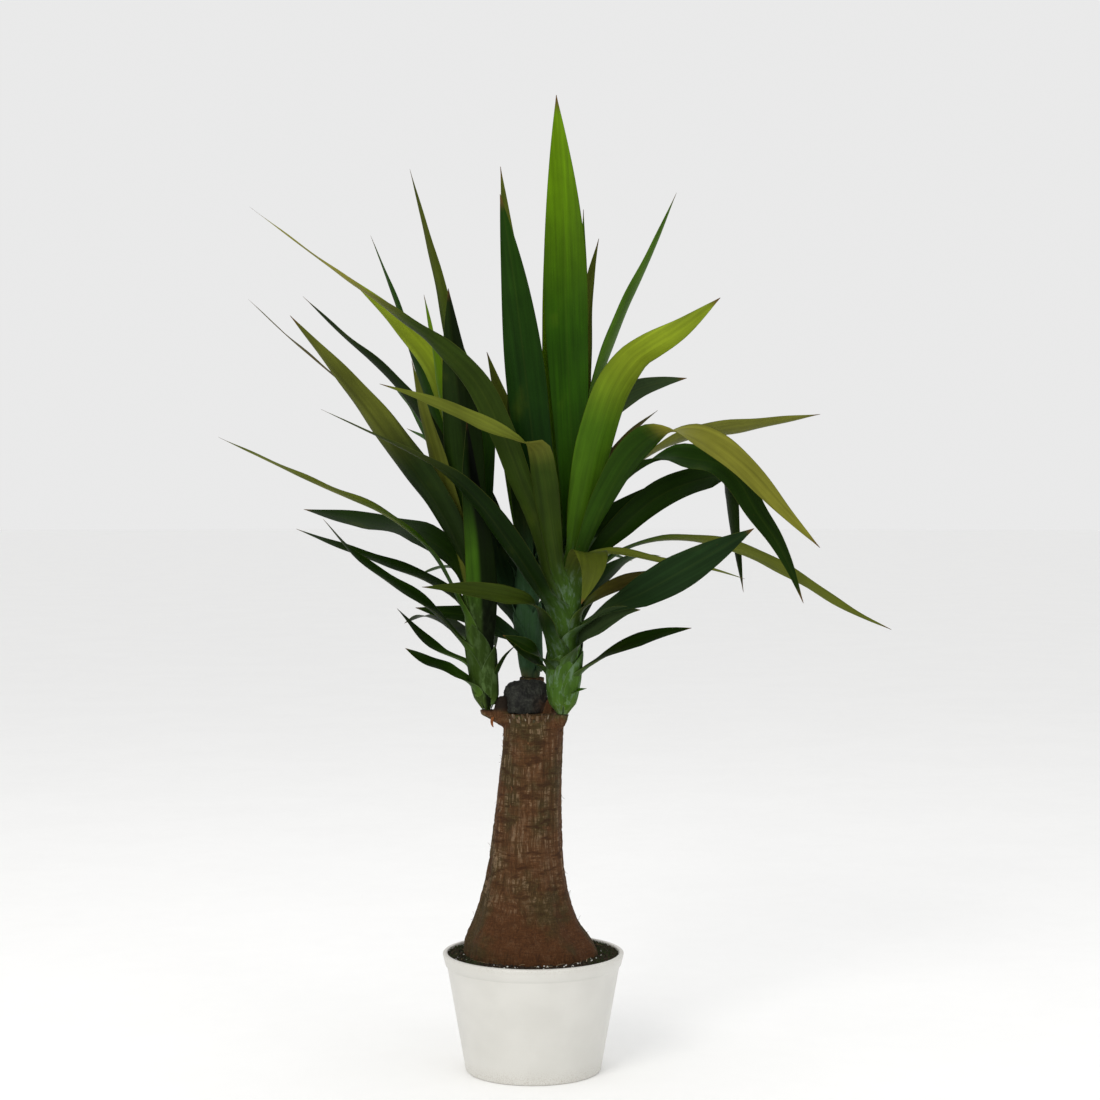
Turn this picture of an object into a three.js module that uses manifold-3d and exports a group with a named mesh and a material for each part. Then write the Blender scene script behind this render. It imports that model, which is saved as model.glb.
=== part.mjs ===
import * as THREE from "three";
import { mergeVertices } from "three/addons/utils/BufferGeometryUtils.js";
import Module from "manifold-3d";

const wasm = await Module();
wasm.setup();

// All sizes are in millimetres. The origin is the middle of the pot's underside and +Z is up.

// Free gap between pieces that rest on or in each other
const REST_GAP = 0.3;

// Pot
const POT_HEIGHT = 135;
const POT_FOOT_RADIUS = 77;
const POT_RIM_RADIUS = 103;
const POT_BAND_HEIGHT = 16;
const POT_BAND_STEP = 2.2;
const POT_WALL = 3;
const POT_FLOOR = 4.5;
const POT_FOOT_RELIEF = 2;
const POT_FOOT_WIDTH = 8;
const POT_PAD_RADIUS = 16;
const POT_SIDES = 48;
const DRAIN_HOLES = 5;
const DRAIN_RADIUS = 4.5;
const DRAIN_CIRCLE = 42;

// Soil
const SOIL_TOP = 133.5;
const SOIL_EDGE_DROP = 1;

// Cane: a round foot in the soil, a flare, a column and a level cut
const CANE_FOOT_BOTTOM = 58;
const CANE_FOOT_TAPER = 8;
const CANE_FOOT_TOP = SOIL_TOP - 3;
const CANE_FOOT_RADIUS = 78;
const CANE_FOOT_X = -2;
const CANE_TOP = 407;
const CANE_SIDES = 36;
const CANE_RIDGES = 9;
// Height, radius, sideways shift and ridge depth of the cane above the soil
const CANE_SECTIONS = [
  [130, 76.3, -2, 0.5],
  [140, 74.8, -3.5, 1.2],
  [150, 71, -6, 1.6],
  [163, 63, -8.5, 1.8],
  [180, 55.5, -9, 1.6],
  [200, 49.3, -9, 1.4],
  [225, 44, -8.5, 1.2],
  [255, 40.2, -7.5, 1],
  [290, 37.6, -6, 0.8],
  [325, 35.6, -4.2, 0.7],
  [360, 34.3, -1.8, 0.6],
  [390, 33.8, -0.3, 0.6],
  [CANE_TOP, 33.6, 0, 0.6],
];

// Brown nubs on the cane that the shoots stand on: height, radius and centre of each section
const NUB_SIDES = 16;
const NUB_LEFT = [
  [392, 6, -30, -3],
  [400, 8.5, -40, -4],
  [405, 9.5, -48, -5],
  [411, 9, -51.5, -5],
];
const NUB_RIGHT = [
  [386, 6, 22, -13],
  [397, 8.5, 29, -17.5],
  [407, 8.5, 32, -19.5],
];
const NUB_BACK = [
  [372, 9, -2, 16],
  [386, 15, -2, 24],
  [400, 16.5, -2, 29.5],
  [420, 14.5, -2, 31],
  [445, 14, -2, 31],
];
// Depth of the socket that each shoot stands in
const SOCKET_DEPTH = 5;

// Wax seal on the cut: sections of height, half width, half depth, middle x and middle y
const WAX_SIDES = 24;
const WAX_SECTIONS = [
  [CANE_TOP + REST_GAP, 24, 14.5, -9, -4],
  [413, 25, 15.5, -9, -4],
  [425, 25, 15.5, -8.5, -4],
  [435, 24.5, 15, -8.5, -4],
  [441, 22, 13, -6.5, -4],
  [445, 15, 9, -2.5, -4],
  [447, 8, 4.5, -1, -4],
];
const WAX_LUMP = 1.3;

// Leafy stems: axis points with the radius at each
const STEM_SIDES = 12;
const STEM_LEFT = [
  [-52, -5, 411, 5.5],
  [-52.5, -5, 418, 9.5],
  [-53.5, -5.5, 428, 12.5],
  [-55, -6, 440, 13.5],
  [-58, -8, 468, 13.5],
  [-64, -10, 535, 13],
  [-68, -10, 590, 11],
  [-70, -10, 640, 6],
];
const STEM_RIGHT = [
  [33, -20, 407, 5.5],
  [33, -20, 413, 9.5],
  [33, -20.5, 420, 13],
  [33, -21, 430, 15.3],
  [34, -22, 445, 16.5],
  [35, -24, 490, 17],
  [37, -25, 540, 16],
  [41, -25, 600, 8],
];
const STEM_BACK = [
  [-2, 31, 445, 11],
  [-2.5, 31.5, 458, 12.5],
  [-6, 36, 500, 13],
  [-8, 39, 550, 12],
  [-8, 40, 590, 6],
];

// Leaf blades
const BLADE_MID_THICKNESS = 1.3;
const BLADE_EDGE_THICKNESS = 0.8;
const BLADE_TIP_HALF_WIDTH = 0.7;
const BLADE_BASE_SHARE = 0.62;
const BLADE_NECK_SHARE = 0.5;
const BLADE_NECK_AT = 0.12;
const BLADE_TIP_POWER = 1.7;
// A blade takes more stations along it the longer it is
const LONG_BLADE = 350;
const SHORT_BLADE = 200;
const LONG_STATIONS = 12;
const MIDDLE_STATIONS = 9;
const SHORT_STATIONS = 6;

// Each leaf: name, full width, place of the widest point, fold in degrees, and its midrib.
// A midrib point is x, y, z, the bearing in degrees that the blade faces there, and where the blade
// twists round its midrib, the degrees of that roll.
const LEAVES_LEFT = [
  ["broad outer", 44, 0.5, 16, [
    [-62, -12, 470, 200], [-73, -22, 564, 215], [-104, -38, 638, 235], [-147, -55, 702, 245],
    [-190, -70, 761, 245], [-264, -95, 850, 240],
  ]],
  ["slim outer", 26, 0.5, 12, [
    [-64, -8, 500, 180], [-76, -2, 580, 180], [-106, 10, 660, 178], [-152, 25, 726, 176],
    [-211, 40, 775, 176], [-282, 55, 835, 176], [-330, 65, 880, 176],
  ]],
  ["dark upper", 32, 0.5, 16, [
    [-66, -12, 510, 190], [-80, -10, 626, 205], [-110, -12, 716, 215], [-161, -18, 786, 215],
    [-211, -23, 831, 212], [-257, -28, 876, 210],
  ]],
  ["olive broad", 40, 0.6, 14, [
    [-66, -10, 515, 170], [-76, -4, 626, 190], [-89, 5, 716, 220], [-110, 12, 794, 240],
    [-152, 15, 848, 245], [-210, 18, 902, 240],
  ]],
  ["slim upright", 30, 0.5, 14, [
    [-66, -4, 530, 150], [-82, 14, 626, 150], [-108, 40, 717, 150], [-132, 48, 793, 155],
    [-158, 54, 873, 160], [-188, 60, 953, 165],
  ]],
  ["olive short", 26, 0.5, 14, [
    [-64, -16, 500, 220], [-84, -25, 604, 235], [-104, -36, 682, 240], [-122, -46, 749, 240],
    [-134, -55, 803, 240],
  ]],
  ["tall", 32, 0.45, 16, [
    [-66, 2, 560, 120], [-70, 12, 626, 125], [-80, 26, 739, 130], [-105, 36, 877, 145],
    [-122, 42, 947, 150], [-142, 48, 1028, 155],
  ]],
  ["dark upright", 46, 0.5, 14, [
    [-62, -14, 520, 260], [-69, -20, 604, 265], [-75, -30, 671, 268], [-81, -42, 749, 270],
    [-90, -56, 837, 270], [-93, -64, 882, 270],
  ]],
  ["young", 20, 0.5, 12, [
    [-68, -9, 590, 200], [-73, -8, 626, 200], [-94, -14, 716, 215], [-104, -18, 778, 220],
    [-116, -22, 846, 220], [-122, -26, 878, 220],
  ]],
  ["long low", 28, 0.45, 14, [
    [-60, -12, 480, 195], [-82, -22, 531, 196], [-115, -40, 591, 196, -10], [-163, -62, 632, 196, -18],
    [-233, -88, 665, 196, -18], [-338, -125, 717, 196, -18],
  ]],
  ["dark level", 48, 0.55, 12, [
    [-64, -4, 520, 150], [-89, 6, 578, 125], [-129, 22, 607, 100], [-183, 45, 619, 92],
    [-268, 75, 637, 92],
  ]],
  ["low broad", 30, 0.5, 16, [
    [-60, -10, 445, 195], [-80, -16, 485, 205, -15], [-115, -30, 526, 220, -40],
    [-159, -42, 557, 225, -45], [-197, -52, 586, 225, -45], [-232, -62, 628, 225, -40],
  ]],
  ["low level", 30, 0.5, 16, [
    [-62, -8, 470, 170], [-82, -4, 530, 160], [-111, 4, 552, 140], [-157, 14, 571, 130],
    [-215, 24, 592, 130], [-272, 32, 615, 130],
  ]],
  ["small low", 18, 0.5, 14, [
    [-58, -4, 445, 165], [-80, 2, 462, 160], [-115, 12, 482, 150, -12], [-156, 24, 524, 150, -12],
  ]],
  ["lowest", 24, 0.5, 14, [
    [-53, -8, 424, 200], [-69, -16, 436, 190], [-93, -28, 457, 165, -15], [-120, -40, 469, 150, -20],
    [-142, -50, 484, 140, -20],
  ]],
  ["inner stub", 10, 0.5, 12, [
    [-50, -8, 425, 330], [-42, -14, 451, 330], [-32, -20, 472, 320], [-18, -26, 487, 310],
  ]],
  ["front upright", 36, 0.4, 12, [
    [-54, -14, 430, 270], [-56, -22, 480, 270], [-57, -29, 536, 270], [-61, -44, 604, 268],
    [-69, -64, 671, 266], [-72, -88, 736, 266],
  ]],
  ["back left", 42, 0.5, 16, [
    [-66, -2, 540, 110], [-82, 45, 625, 112], [-106, 100, 700, 115], [-138, 160, 752, 118],
    [-172, 220, 785, 120],
  ]],
  ["back upright", 44, 0.5, 14, [
    [-64, -2, 560, 95], [-70, 42, 640, 95], [-76, 92, 725, 95], [-83, 145, 795, 95],
    [-89, 190, 840, 95],
  ]],
  ["back inner", 32, 0.5, 14, [
    [-62, -4, 540, 80], [-62, 24, 620, 80], [-58, 50, 690, 80], [-52, 76, 740, 80], [-48, 94, 780, 80],
  ]],
  ["back low left", 30, 0.5, 18, [
    [-60, -2, 470, 125], [-80, 35, 490, 125], [-105, 75, 505, 125], [-130, 110, 510, 125],
    [-155, 140, 500, 125],
  ]],
  ["back low", 28, 0.5, 18, [
    [-56, -2, 450, 90], [-56, 35, 480, 88], [-54, 75, 495, 85], [-50, 115, 490, 85],
    [-46, 150, 470, 85],
  ]],
];
const LEAVES_RIGHT = [
  ["tallest", 50, 0.6, 10, [
    [40, -24, 560, 90], [45, -26, 626, 90], [43, -28, 716, 90], [38, -30, 828, 90], [34, -30, 962, 90],
    [26, -28, 1100, 90],
  ]],
  ["dark tall", 46, 0.55, 10, [
    [34, -34, 520, 280], [22, -40, 560, 275], [13, -44, 626, 272], [0, -48, 716, 270],
    [-10, -52, 804, 270], [-21, -56, 893, 270], [-36, -60, 986, 270],
  ]],
  ["tall behind", 28, 0.5, 12, [
    [36, -20, 570, 180], [16, -8, 626, 130], [2, -4, 716, 100], [-14, 0, 830, 95], [-28, 4, 943, 95],
    [-37, 6, 1025, 95],
  ]],
  ["bright strip", 30, 0.55, 12, [
    [38, -20, 575, 100], [28, -16, 671, 95], [25, -13, 784, 95], [19, -10, 874, 95], [13, -8, 942, 95],
  ]],
  ["slim strip", 18, 0.5, 12, [
    [44, -18, 585, 60], [48, 2, 671, 65], [53, 12, 784, 70], [57, 14, 875, 70], [57, 15, 943, 70],
    [57, 16, 978, 70],
  ]],
  ["olive upright", 28, 0.5, 12, [
    [42, -16, 570, 80], [46, 16, 649, 80], [53, 34, 762, 75], [61, 40, 871, 70], [67, 42, 910, 70],
    [75, 44, 948, 70],
  ]],
  ["right upright", 32, 0.55, 10, [
    [44, -18, 565, 20], [56, -8, 682, 345], [73, 6, 779, 338], [103, 20, 863, 334], [134, 32, 929, 334],
    [164, 42, 1000, 334],
  ]],
  ["bright bent", 44, 0.45, 12, [
    [42, -34, 540, 300], [47, -38, 582, 300], [57, -42, 649, 290], [72, -46, 721, 285],
    [90, -50, 774, 280], [111, -56, 804, 276], [126, -62, 815, 268], [162, -74, 837, 258],
    [205, -86, 870, 256],
  ]],
  ["broad folded", 42, 0.5, 14, [
    [40, -32, 530, 320], [56, -38, 590, 315], [80, -46, 649, 300], [110, -58, 699, 290],
    [136, -70, 721, 285], [165, -82, 723, 280], [194, -92, 711, 280], [231, -104, 682, 280],
    [273, -116, 636, 280], [310, -126, 598, 280],
  ]],
  ["long level", 34, 0.55, 14, [
    [42, -16, 555, 20], [58, -8, 613, 25], [89, 5, 660, 35], [127, 22, 695, 45, -30],
    [180, 42, 721, 45, -38], [251, 64, 733, 40, -45], [335, 88, 748, 35, -45],
  ]],
  ["dark arch", 35, 0.5, 14, [
    [42, -26, 540, 340], [62, -20, 618, 330], [92, -22, 662, 315], [128, -24, 688, 310, 20],
    [156, -26, 697, 310, 40], [182, -28, 694, 310, 45], [210, -32, 688, 310, 50],
    [228, -35, 672, 310, 50], [249, -38, 636, 310, 45], [269, -41, 607, 310, 45],
    [285, -44, 576, 310, 45], [301, -48, 534, 310, 45],
  ]],
  ["broken", 36, 0.5, 14, [
    [42, -24, 520, 10], [63, -16, 575, 20, 20], [100, -4, 617, 35, 45], [144, 8, 653, 45, 45],
    [190, 16, 671, 50, 45], [214, 20, 673, 50, 45], [222, 21, 657, 45, 20], [230, 22, 603, 35],
    [240, 22, 543, 30],
  ]],
  ["longest low", 30, 0.5, 14, [
    [38, -24, 500, 10], [63, -22, 557, 10], [98, -20, 589, 10], [137, -18, 602, 15],
    [188, -16, 602, 20, 20], [244, -14, 587, 20, 40], [301, -12, 558, 20, 48], [357, -10, 524, 15, 48],
    [405, -8, 502, 10, 48],
  ]],
  ["front broad", 42, 0.6, 12, [
    [34, -30, 470, 320], [50, -42, 498, 340], [80, -58, 525, 385], [123, -80, 548, 415],
    [171, -104, 577, 428], [238, -136, 619, 428],
  ]],
  ["brown slim", 26, 0.5, 14, [
    [36, -28, 490, 345], [64, -34, 533, 345, 25], [103, -40, 556, 350, 45], [136, -44, 565, 360, 45],
    [163, -48, 575, 360, 45],
  ]],
  ["level slim", 20, 0.5, 14, [
    [40, -34, 540, 340], [56, -44, 585, 340], [85, -52, 591, 350, 22], [146, -60, 580, 370, 22],
    [198, -66, 572, 370, 22], [234, -70, 562, 370, 22],
  ]],
  ["front curl", 38, 0.5, 10, [
    [42, -36, 520, 290], [50, -54, 572, 285], [62, -95, 592, 280], [65, -137, 576, 275],
    [60, -160, 559, 270], [52, -174, 540, 270],
  ]],
  ["low right", 22, 0.65, 14, [
    [32, -22, 425, 330], [52, -25, 449, 350], [80, -28, 473, 360, 15], [120, -34, 491, 395, 27],
    [147, -38, 500, 400, 27], [177, -42, 506, 400, 27],
  ]],
  ["low grey", 34, 0.5, 14, [
    [32, -28, 430, 310], [44, -38, 468, 320], [57, -50, 496, 340, 35], [71, -58, 507, 360, 35],
    [84, -68, 518, 380, 35], [98, -78, 525, 395, 35], [118, -92, 529, 395, 35],
  ]],
  ["stub", 13, 0.5, 12, [
    [30, -26, 415, 300], [46, -32, 433, 320, 30], [60, -36, 438, 340, 40],
  ]],
  ["longest", 30, 0.45, 9, [
    [30, -32, 500, 260], [19, -48, 560, 262], [7, -56, 616, 264], [-14, -70, 671, 264],
    [-36, -84, 728, 262], [-63, -94, 779, 258], [-101, -105, 817, 240], [-143, -115, 847, 215],
    [-217, -133, 899, 195], [-300, -150, 961, 190],
  ]],
  ["bent olive", 30, 0.45, 14, [
    [33, -38, 520, 275], [27, -58, 571, 275], [19, -78, 627, 272], [12, -92, 676, 265],
    [4, -104, 706, 250], [-14, -112, 713, 235, -35], [-57, -126, 733, 225, -70],
    [-110, -142, 756, 222, -72], [-162, -158, 773, 215, -60],
  ]],
  ["crossing", 34, 0.4, 14, [
    [28, -34, 490, 260], [17, -50, 532, 255], [-3, -66, 568, 250], [-30, -82, 608, 240],
    [-57, -94, 644, 235], [-90, -106, 676, 225], [-133, -116, 701, 205], [-186, -126, 727, 195],
    [-227, -134, 747, 190],
  ]],
  ["low crossing", 30, 0.55, 16, [
    [32, -28, 450, 240], [22, -48, 482, 240], [13, -62, 511, 225], [0, -74, 534, 195, -15],
    [-30, -86, 543, 150, -35], [-74, -100, 551, 135, -35], [-120, -114, 555, 135, -35],
  ]],
  ["small inner", 22, 0.5, 14, [
    [28, -28, 440, 240], [16, -42, 465, 235], [3, -56, 480, 190, -25], [-11, -64, 490, 150, -40],
    [-33, -74, 500, 140, -40],
  ]],
  ["small dark", 20, 0.5, 14, [
    [28, -20, 432, 200], [8, -14, 459, 190, -15], [-13, -14, 480, 150, -30], [-34, -16, 496, 140, -30],
  ]],
  ["back right", 40, 0.5, 16, [
    [42, -18, 510, 60], [60, 20, 572, 58], [86, 75, 610, 62], [110, 135, 638, 66], [132, 195, 648, 68],
  ]],
  ["back low right", 32, 0.5, 18, [
    [36, -16, 470, 50], [60, 25, 526, 48], [88, 68, 562, 48], [120, 112, 580, 50], [152, 155, 580, 52],
  ]],
  ["back lowest", 28, 0.5, 18, [
    [34, -14, 440, 85], [36, 25, 480, 85], [40, 62, 500, 82], [46, 100, 500, 80], [51, 130, 490, 80],
  ]],
];
const LEAVES_BACK = [
  ["olive upright", 30, 0.5, 14, [
    [-7, 38, 560, 100], [-12, 42, 602, 100], [-21, 46, 683, 105], [-29, 50, 735, 110],
    [-42, 54, 778, 115], [-54, 58, 819, 115],
  ]],
  ["dark upright", 28, 0.5, 12, [
    [-7, 36, 550, 260], [-10, 30, 603, 262], [-15, 26, 683, 265], [-22, 22, 740, 265],
    [-29, 18, 787, 265],
  ]],
  ["inner left", 42, 0.45, 14, [
    [-10, 36, 505, 135], [-31, 42, 552, 125], [-46, 60, 606, 120], [-56, 84, 650, 120],
    [-66, 110, 684, 115],
  ]],
  ["low crossing", 28, 0.5, 14, [
    [0, 30, 460, 250], [-7, 18, 468, 240], [-20, 13, 481, 200, -20], [-36, 16, 498, 150, -35],
    [-68, 26, 514, 115, -35], [-107, 30, 520, 105, -35], [-135, 26, 525, 105, -35],
  ]],
  ["right low", 34, 0.5, 16, [
    [-5, 38, 545, 20], [35, 45, 598, 30, 25], [83, 52, 622, 40, 55], [135, 62, 650, 45, 60],
    [175, 70, 672, 45, 60], [212, 76, 680, 45, 60],
  ]],
  ["right upper", 34, 0.55, 14, [
    [-6, 40, 575, 50], [14, 48, 640, 50], [60, 64, 725, 50, 20], [112, 84, 772, 50, 50],
    [148, 96, 785, 50, 60], [180, 106, 791, 50, 60],
  ]],
  ["right middle", 28, 0.5, 14, [
    [-5, 39, 560, 40], [20, 44, 610, 40], [58, 50, 655, 40], [88, 56, 694, 40], [117, 62, 729, 40],
    [144, 68, 752, 40],
  ]],
  ["back upright", 44, 0.5, 14, [
    [-8, 42, 560, 95], [-10, 90, 640, 95], [-16, 150, 720, 95], [-22, 215, 770, 95],
    [-28, 280, 790, 95],
  ]],
  ["back right", 42, 0.5, 16, [
    [-6, 42, 540, 55], [22, 88, 605, 55], [58, 145, 660, 55], [98, 205, 690, 55], [142, 262, 690, 55],
  ]],
  ["back left", 42, 0.5, 16, [
    [-10, 42, 540, 125], [-42, 88, 605, 127], [-78, 138, 665, 128], [-116, 190, 710, 130],
    [-158, 240, 735, 132],
  ]],
  ["back low right", 34, 0.5, 18, [
    [-2, 38, 480, 60], [24, 80, 535, 58], [54, 125, 568, 55], [86, 170, 580, 52], [120, 212, 572, 50],
  ]],
  ["back low left", 34, 0.5, 18, [
    [-8, 38, 480, 125], [-40, 78, 530, 128], [-72, 118, 558, 130], [-106, 158, 566, 132],
    [-140, 195, 556, 135],
  ]],
  ["back low", 32, 0.5, 18, [
    [-6, 40, 470, 90], [-8, 90, 515, 88], [-4, 140, 540, 85], [2, 190, 545, 82], [10, 240, 530, 80],
  ]],
  ["young", 34, 0.5, 12, [
    [-9, 42, 580, 95], [-14, 66, 660, 92], [-12, 82, 740, 90], [-8, 96, 810, 90],
  ]],
];

// Turns a closed geometry into a solid.
function solidOf(geometry) {
  const bare = geometry.clone();
  bare.deleteAttribute("normal");
  bare.deleteAttribute("uv");
  const merged = mergeVertices(bare, 1e-4);
  return new wasm.Manifold(
    new wasm.Mesh({
      numProp: 3,
      vertProperties: merged.attributes.position.array,
      triVerts: new Uint32Array(merged.index.array),
    }),
  );
}

// Turns a solid back into a geometry.
function geometryOf(solid) {
  const mesh = solid.getMesh();
  const geometry = new THREE.BufferGeometry();
  geometry.setAttribute("position", new THREE.BufferAttribute(mesh.vertProperties, 3));
  geometry.setIndex(new THREE.BufferAttribute(mesh.triVerts, 1));
  return geometry;
}

// Builds a closed solid from rings of points that all have the same count, low ring first.
function loftOf(rings) {
  const count = rings[0].length;
  const positions = rings.flat().flatMap((p) => [p.x, p.y, p.z]);
  const index = [];
  for (let r = 0; r < rings.length - 1; r++) {
    for (let i = 0; i < count; i++) {
      const a = r * count + i;
      const b = r * count + ((i + 1) % count);
      index.push(a, b, b + count, a, b + count, a + count);
    }
  }
  const last = (rings.length - 1) * count;
  for (let i = 1; i < count - 1; i++) {
    index.push(0, i + 1, i);
    index.push(last, last + i, last + i + 1);
  }
  const geometry = new THREE.BufferGeometry();
  geometry.setAttribute("position", new THREE.Float32BufferAttribute(positions, 3));
  geometry.setIndex(index);
  return solidOf(geometry);
}

// A level ring of points around a middle, with its radius given for each angle.
function levelRing(sides, height, middleX, middleY, radiusAt) {
  return Array.from({ length: sides }, (_, i) => {
    const angle = (2 * Math.PI * i) / sides;
    const [across, deep] = radiusAt(angle);
    return new THREE.Vector3(
      middleX + across * Math.cos(angle),
      middleY + deep * Math.sin(angle),
      height,
    );
  });
}

// A turned solid around the Z axis from a profile of radius and height.
function turnedSolid(profile, sides) {
  const points = profile.map(([radius, height]) => new THREE.Vector2(radius, height));
  return solidOf(new THREE.LatheGeometry(points, sides).rotateX(Math.PI / 2));
}

// An upright round rod.
function rodSolid(radius, low, high, x, y, sides) {
  const geometry = new THREE.CylinderGeometry(radius, radius, high - low, sides);
  geometry.rotateX(Math.PI / 2).translate(x, y, (low + high) / 2);
  return solidOf(geometry);
}

function addAll(solids) {
  return solids.reduce((sum, solid) => sum.add(solid));
}

// Pot: a tapered wall, a plain band at the rim, and a recessed underside with a middle pad
const POT_RISE = POT_HEIGHT - POT_BAND_HEIGHT;
const POT_BAND_FOOT_RADIUS =
  POT_FOOT_RADIUS + ((POT_RIM_RADIUS - POT_BAND_STEP - POT_FOOT_RADIUS) * POT_RISE) / POT_HEIGHT;
const POT_INNER_FLOOR_RADIUS = POT_FOOT_RADIUS - POT_WALL;
const POT_INNER_RIM_RADIUS = POT_RIM_RADIUS - POT_BAND_STEP - POT_WALL;

function potSolid() {
  const body = turnedSolid(
    [
      [0, 0],
      [POT_PAD_RADIUS, 0],
      [POT_PAD_RADIUS + POT_FOOT_RELIEF, POT_FOOT_RELIEF],
      [POT_FOOT_RADIUS - POT_FOOT_WIDTH, POT_FOOT_RELIEF],
      [POT_FOOT_RADIUS - POT_FOOT_WIDTH + POT_FOOT_RELIEF, 0],
      [POT_FOOT_RADIUS - 2, 0],
      [POT_FOOT_RADIUS, 2],
      [POT_BAND_FOOT_RADIUS, POT_RISE],
      [POT_BAND_FOOT_RADIUS + POT_BAND_STEP, POT_RISE + POT_BAND_STEP],
      [POT_RIM_RADIUS, POT_HEIGHT - 2],
      [POT_RIM_RADIUS - 1, POT_HEIGHT - 0.5],
      [POT_RIM_RADIUS - 2, POT_HEIGHT],
      [POT_INNER_RIM_RADIUS + 1, POT_HEIGHT],
      [POT_INNER_RIM_RADIUS, POT_HEIGHT - 1],
      [POT_INNER_FLOOR_RADIUS, POT_FLOOR],
      [0, POT_FLOOR],
    ],
    POT_SIDES,
  );
  const holes = Array.from({ length: DRAIN_HOLES }, (_, i) => {
    const angle = (2 * Math.PI * i) / DRAIN_HOLES;
    const x = DRAIN_CIRCLE * Math.cos(angle);
    const y = DRAIN_CIRCLE * Math.sin(angle);
    return rodSolid(DRAIN_RADIUS, -1, POT_FLOOR + 1, x, y, 20);
  });
  return body.subtract(addAll(holes));
}

// Radius of the pot's inner wall at a height
function innerRadius(height) {
  const share = (height - POT_FLOOR) / (POT_HEIGHT - 1 - POT_FLOOR);
  return POT_INNER_FLOOR_RADIUS + (POT_INNER_RIM_RADIUS - POT_INNER_FLOOR_RADIUS) * share;
}

// The round foot that the cane keeps below the soil's surface, wider by a given amount
function caneFoot(extra, top) {
  const radius = CANE_FOOT_RADIUS + extra;
  return turnedSolid(
    [
      [0, CANE_FOOT_BOTTOM - extra],
      [radius - CANE_FOOT_TAPER, CANE_FOOT_BOTTOM - extra],
      [radius, CANE_FOOT_BOTTOM + CANE_FOOT_TAPER],
      [radius, top],
      [0, top],
    ],
    POT_SIDES,
  ).translate(CANE_FOOT_X, 0, 0);
}

function soilSolid() {
  const bottom = POT_FLOOR + REST_GAP;
  const edge = SOIL_TOP - SOIL_EDGE_DROP;
  const body = turnedSolid(
    [
      [0, bottom],
      [innerRadius(bottom) - REST_GAP, bottom],
      [innerRadius(edge) - REST_GAP, edge],
      [innerRadius(edge) - 8, SOIL_TOP],
      [0, SOIL_TOP],
    ],
    POT_SIDES,
  );
  return body.subtract(caneFoot(REST_GAP, SOIL_TOP + 5));
}

function nubSolid(sections) {
  return loftOf(
    sections.map(([height, radius, x, y]) =>
      levelRing(NUB_SIDES, height, x, y, () => [radius, radius]),
    ),
  );
}

function socketSolid(stem) {
  const [x, y, height, radius] = stem[0];
  return rodSolid(radius + REST_GAP, height - SOCKET_DEPTH, height + 20, x, y, STEM_SIDES);
}

function caneSolid() {
  const column = loftOf(
    CANE_SECTIONS.map(([height, radius, x, ridge]) =>
      levelRing(CANE_SIDES, height, x, 0, (angle) => {
        const wave = Math.cos(CANE_RIDGES * angle + height / 60);
        const flare = ridge * wave + 0.4 * ridge * Math.sin(5 * angle + 1);
        return [radius + flare, radius + flare];
      }),
    ),
  );
  const whole = addAll([
    caneFoot(0, CANE_FOOT_TOP + 1),
    column,
    nubSolid(NUB_LEFT),
    nubSolid(NUB_RIGHT),
    nubSolid(NUB_BACK),
  ]);
  return whole.subtract(addAll([STEM_LEFT, STEM_RIGHT, STEM_BACK].map(socketSolid)));
}

function waxSolid() {
  return loftOf(
    WAX_SECTIONS.map(([height, across, deep, x, y], level) =>
      levelRing(WAX_SIDES, height, x, y, (angle) => {
        const lump = WAX_LUMP * Math.sin(4 * angle + level) * Math.min(1, level / 2);
        return [across + lump, deep + lump];
      }),
    ),
  );
}

// A stem with a round foot that drops into its socket
function stemSolid(stem) {
  const [x, y, height, radius] = stem[0];
  const bottom = height - SOCKET_DEPTH + REST_GAP;
  const foot = levelRing(STEM_SIDES, bottom, x, y, () => [radius, radius]);
  const rings = stem.map(([px, py, pz, r]) => levelRing(STEM_SIDES, pz, px, py, () => [r, r]));
  return loftOf([foot, ...rings]);
}

// Share of a blade's full width at a share of its length
function widthShare(along, widest) {
  if (along < BLADE_NECK_AT) {
    const t = along / BLADE_NECK_AT;
    return BLADE_BASE_SHARE + (BLADE_NECK_SHARE - BLADE_BASE_SHARE) * t * t * (3 - 2 * t);
  }
  if (along < widest) {
    const t = (along - BLADE_NECK_AT) / (widest - BLADE_NECK_AT);
    return BLADE_NECK_SHARE + (1 - BLADE_NECK_SHARE) * Math.sin((Math.PI / 2) * t);
  }
  return 1 - Math.pow((along - widest) / (1 - widest), BLADE_TIP_POWER);
}

// The bearing and the roll of the blade at a share of its length, in radians
function turnAt(path, along) {
  const corners = path.map(([x, y, z]) => new THREE.Vector3(x, y, z));
  const steps = corners.slice(1).map((corner, i) => corner.distanceTo(corners[i]));
  let rest = along * steps.reduce((a, b) => a + b);
  let i = 0;
  while (rest > steps[i] && i < steps.length - 1) {
    rest -= steps[i];
    i += 1;
  }
  const share = Math.min(1, rest / steps[i]);
  const between = (low = 0, high = 0) => THREE.MathUtils.degToRad(low + (high - low) * share);
  return [between(path[i][3], path[i + 1][3]), between(path[i][4], path[i + 1][4])];
}

// How many stations a blade of a length takes
function stationsFor(length) {
  if (length > LONG_BLADE) return LONG_STATIONS;
  return length > SHORT_BLADE ? MIDDLE_STATIONS : SHORT_STATIONS;
}

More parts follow.
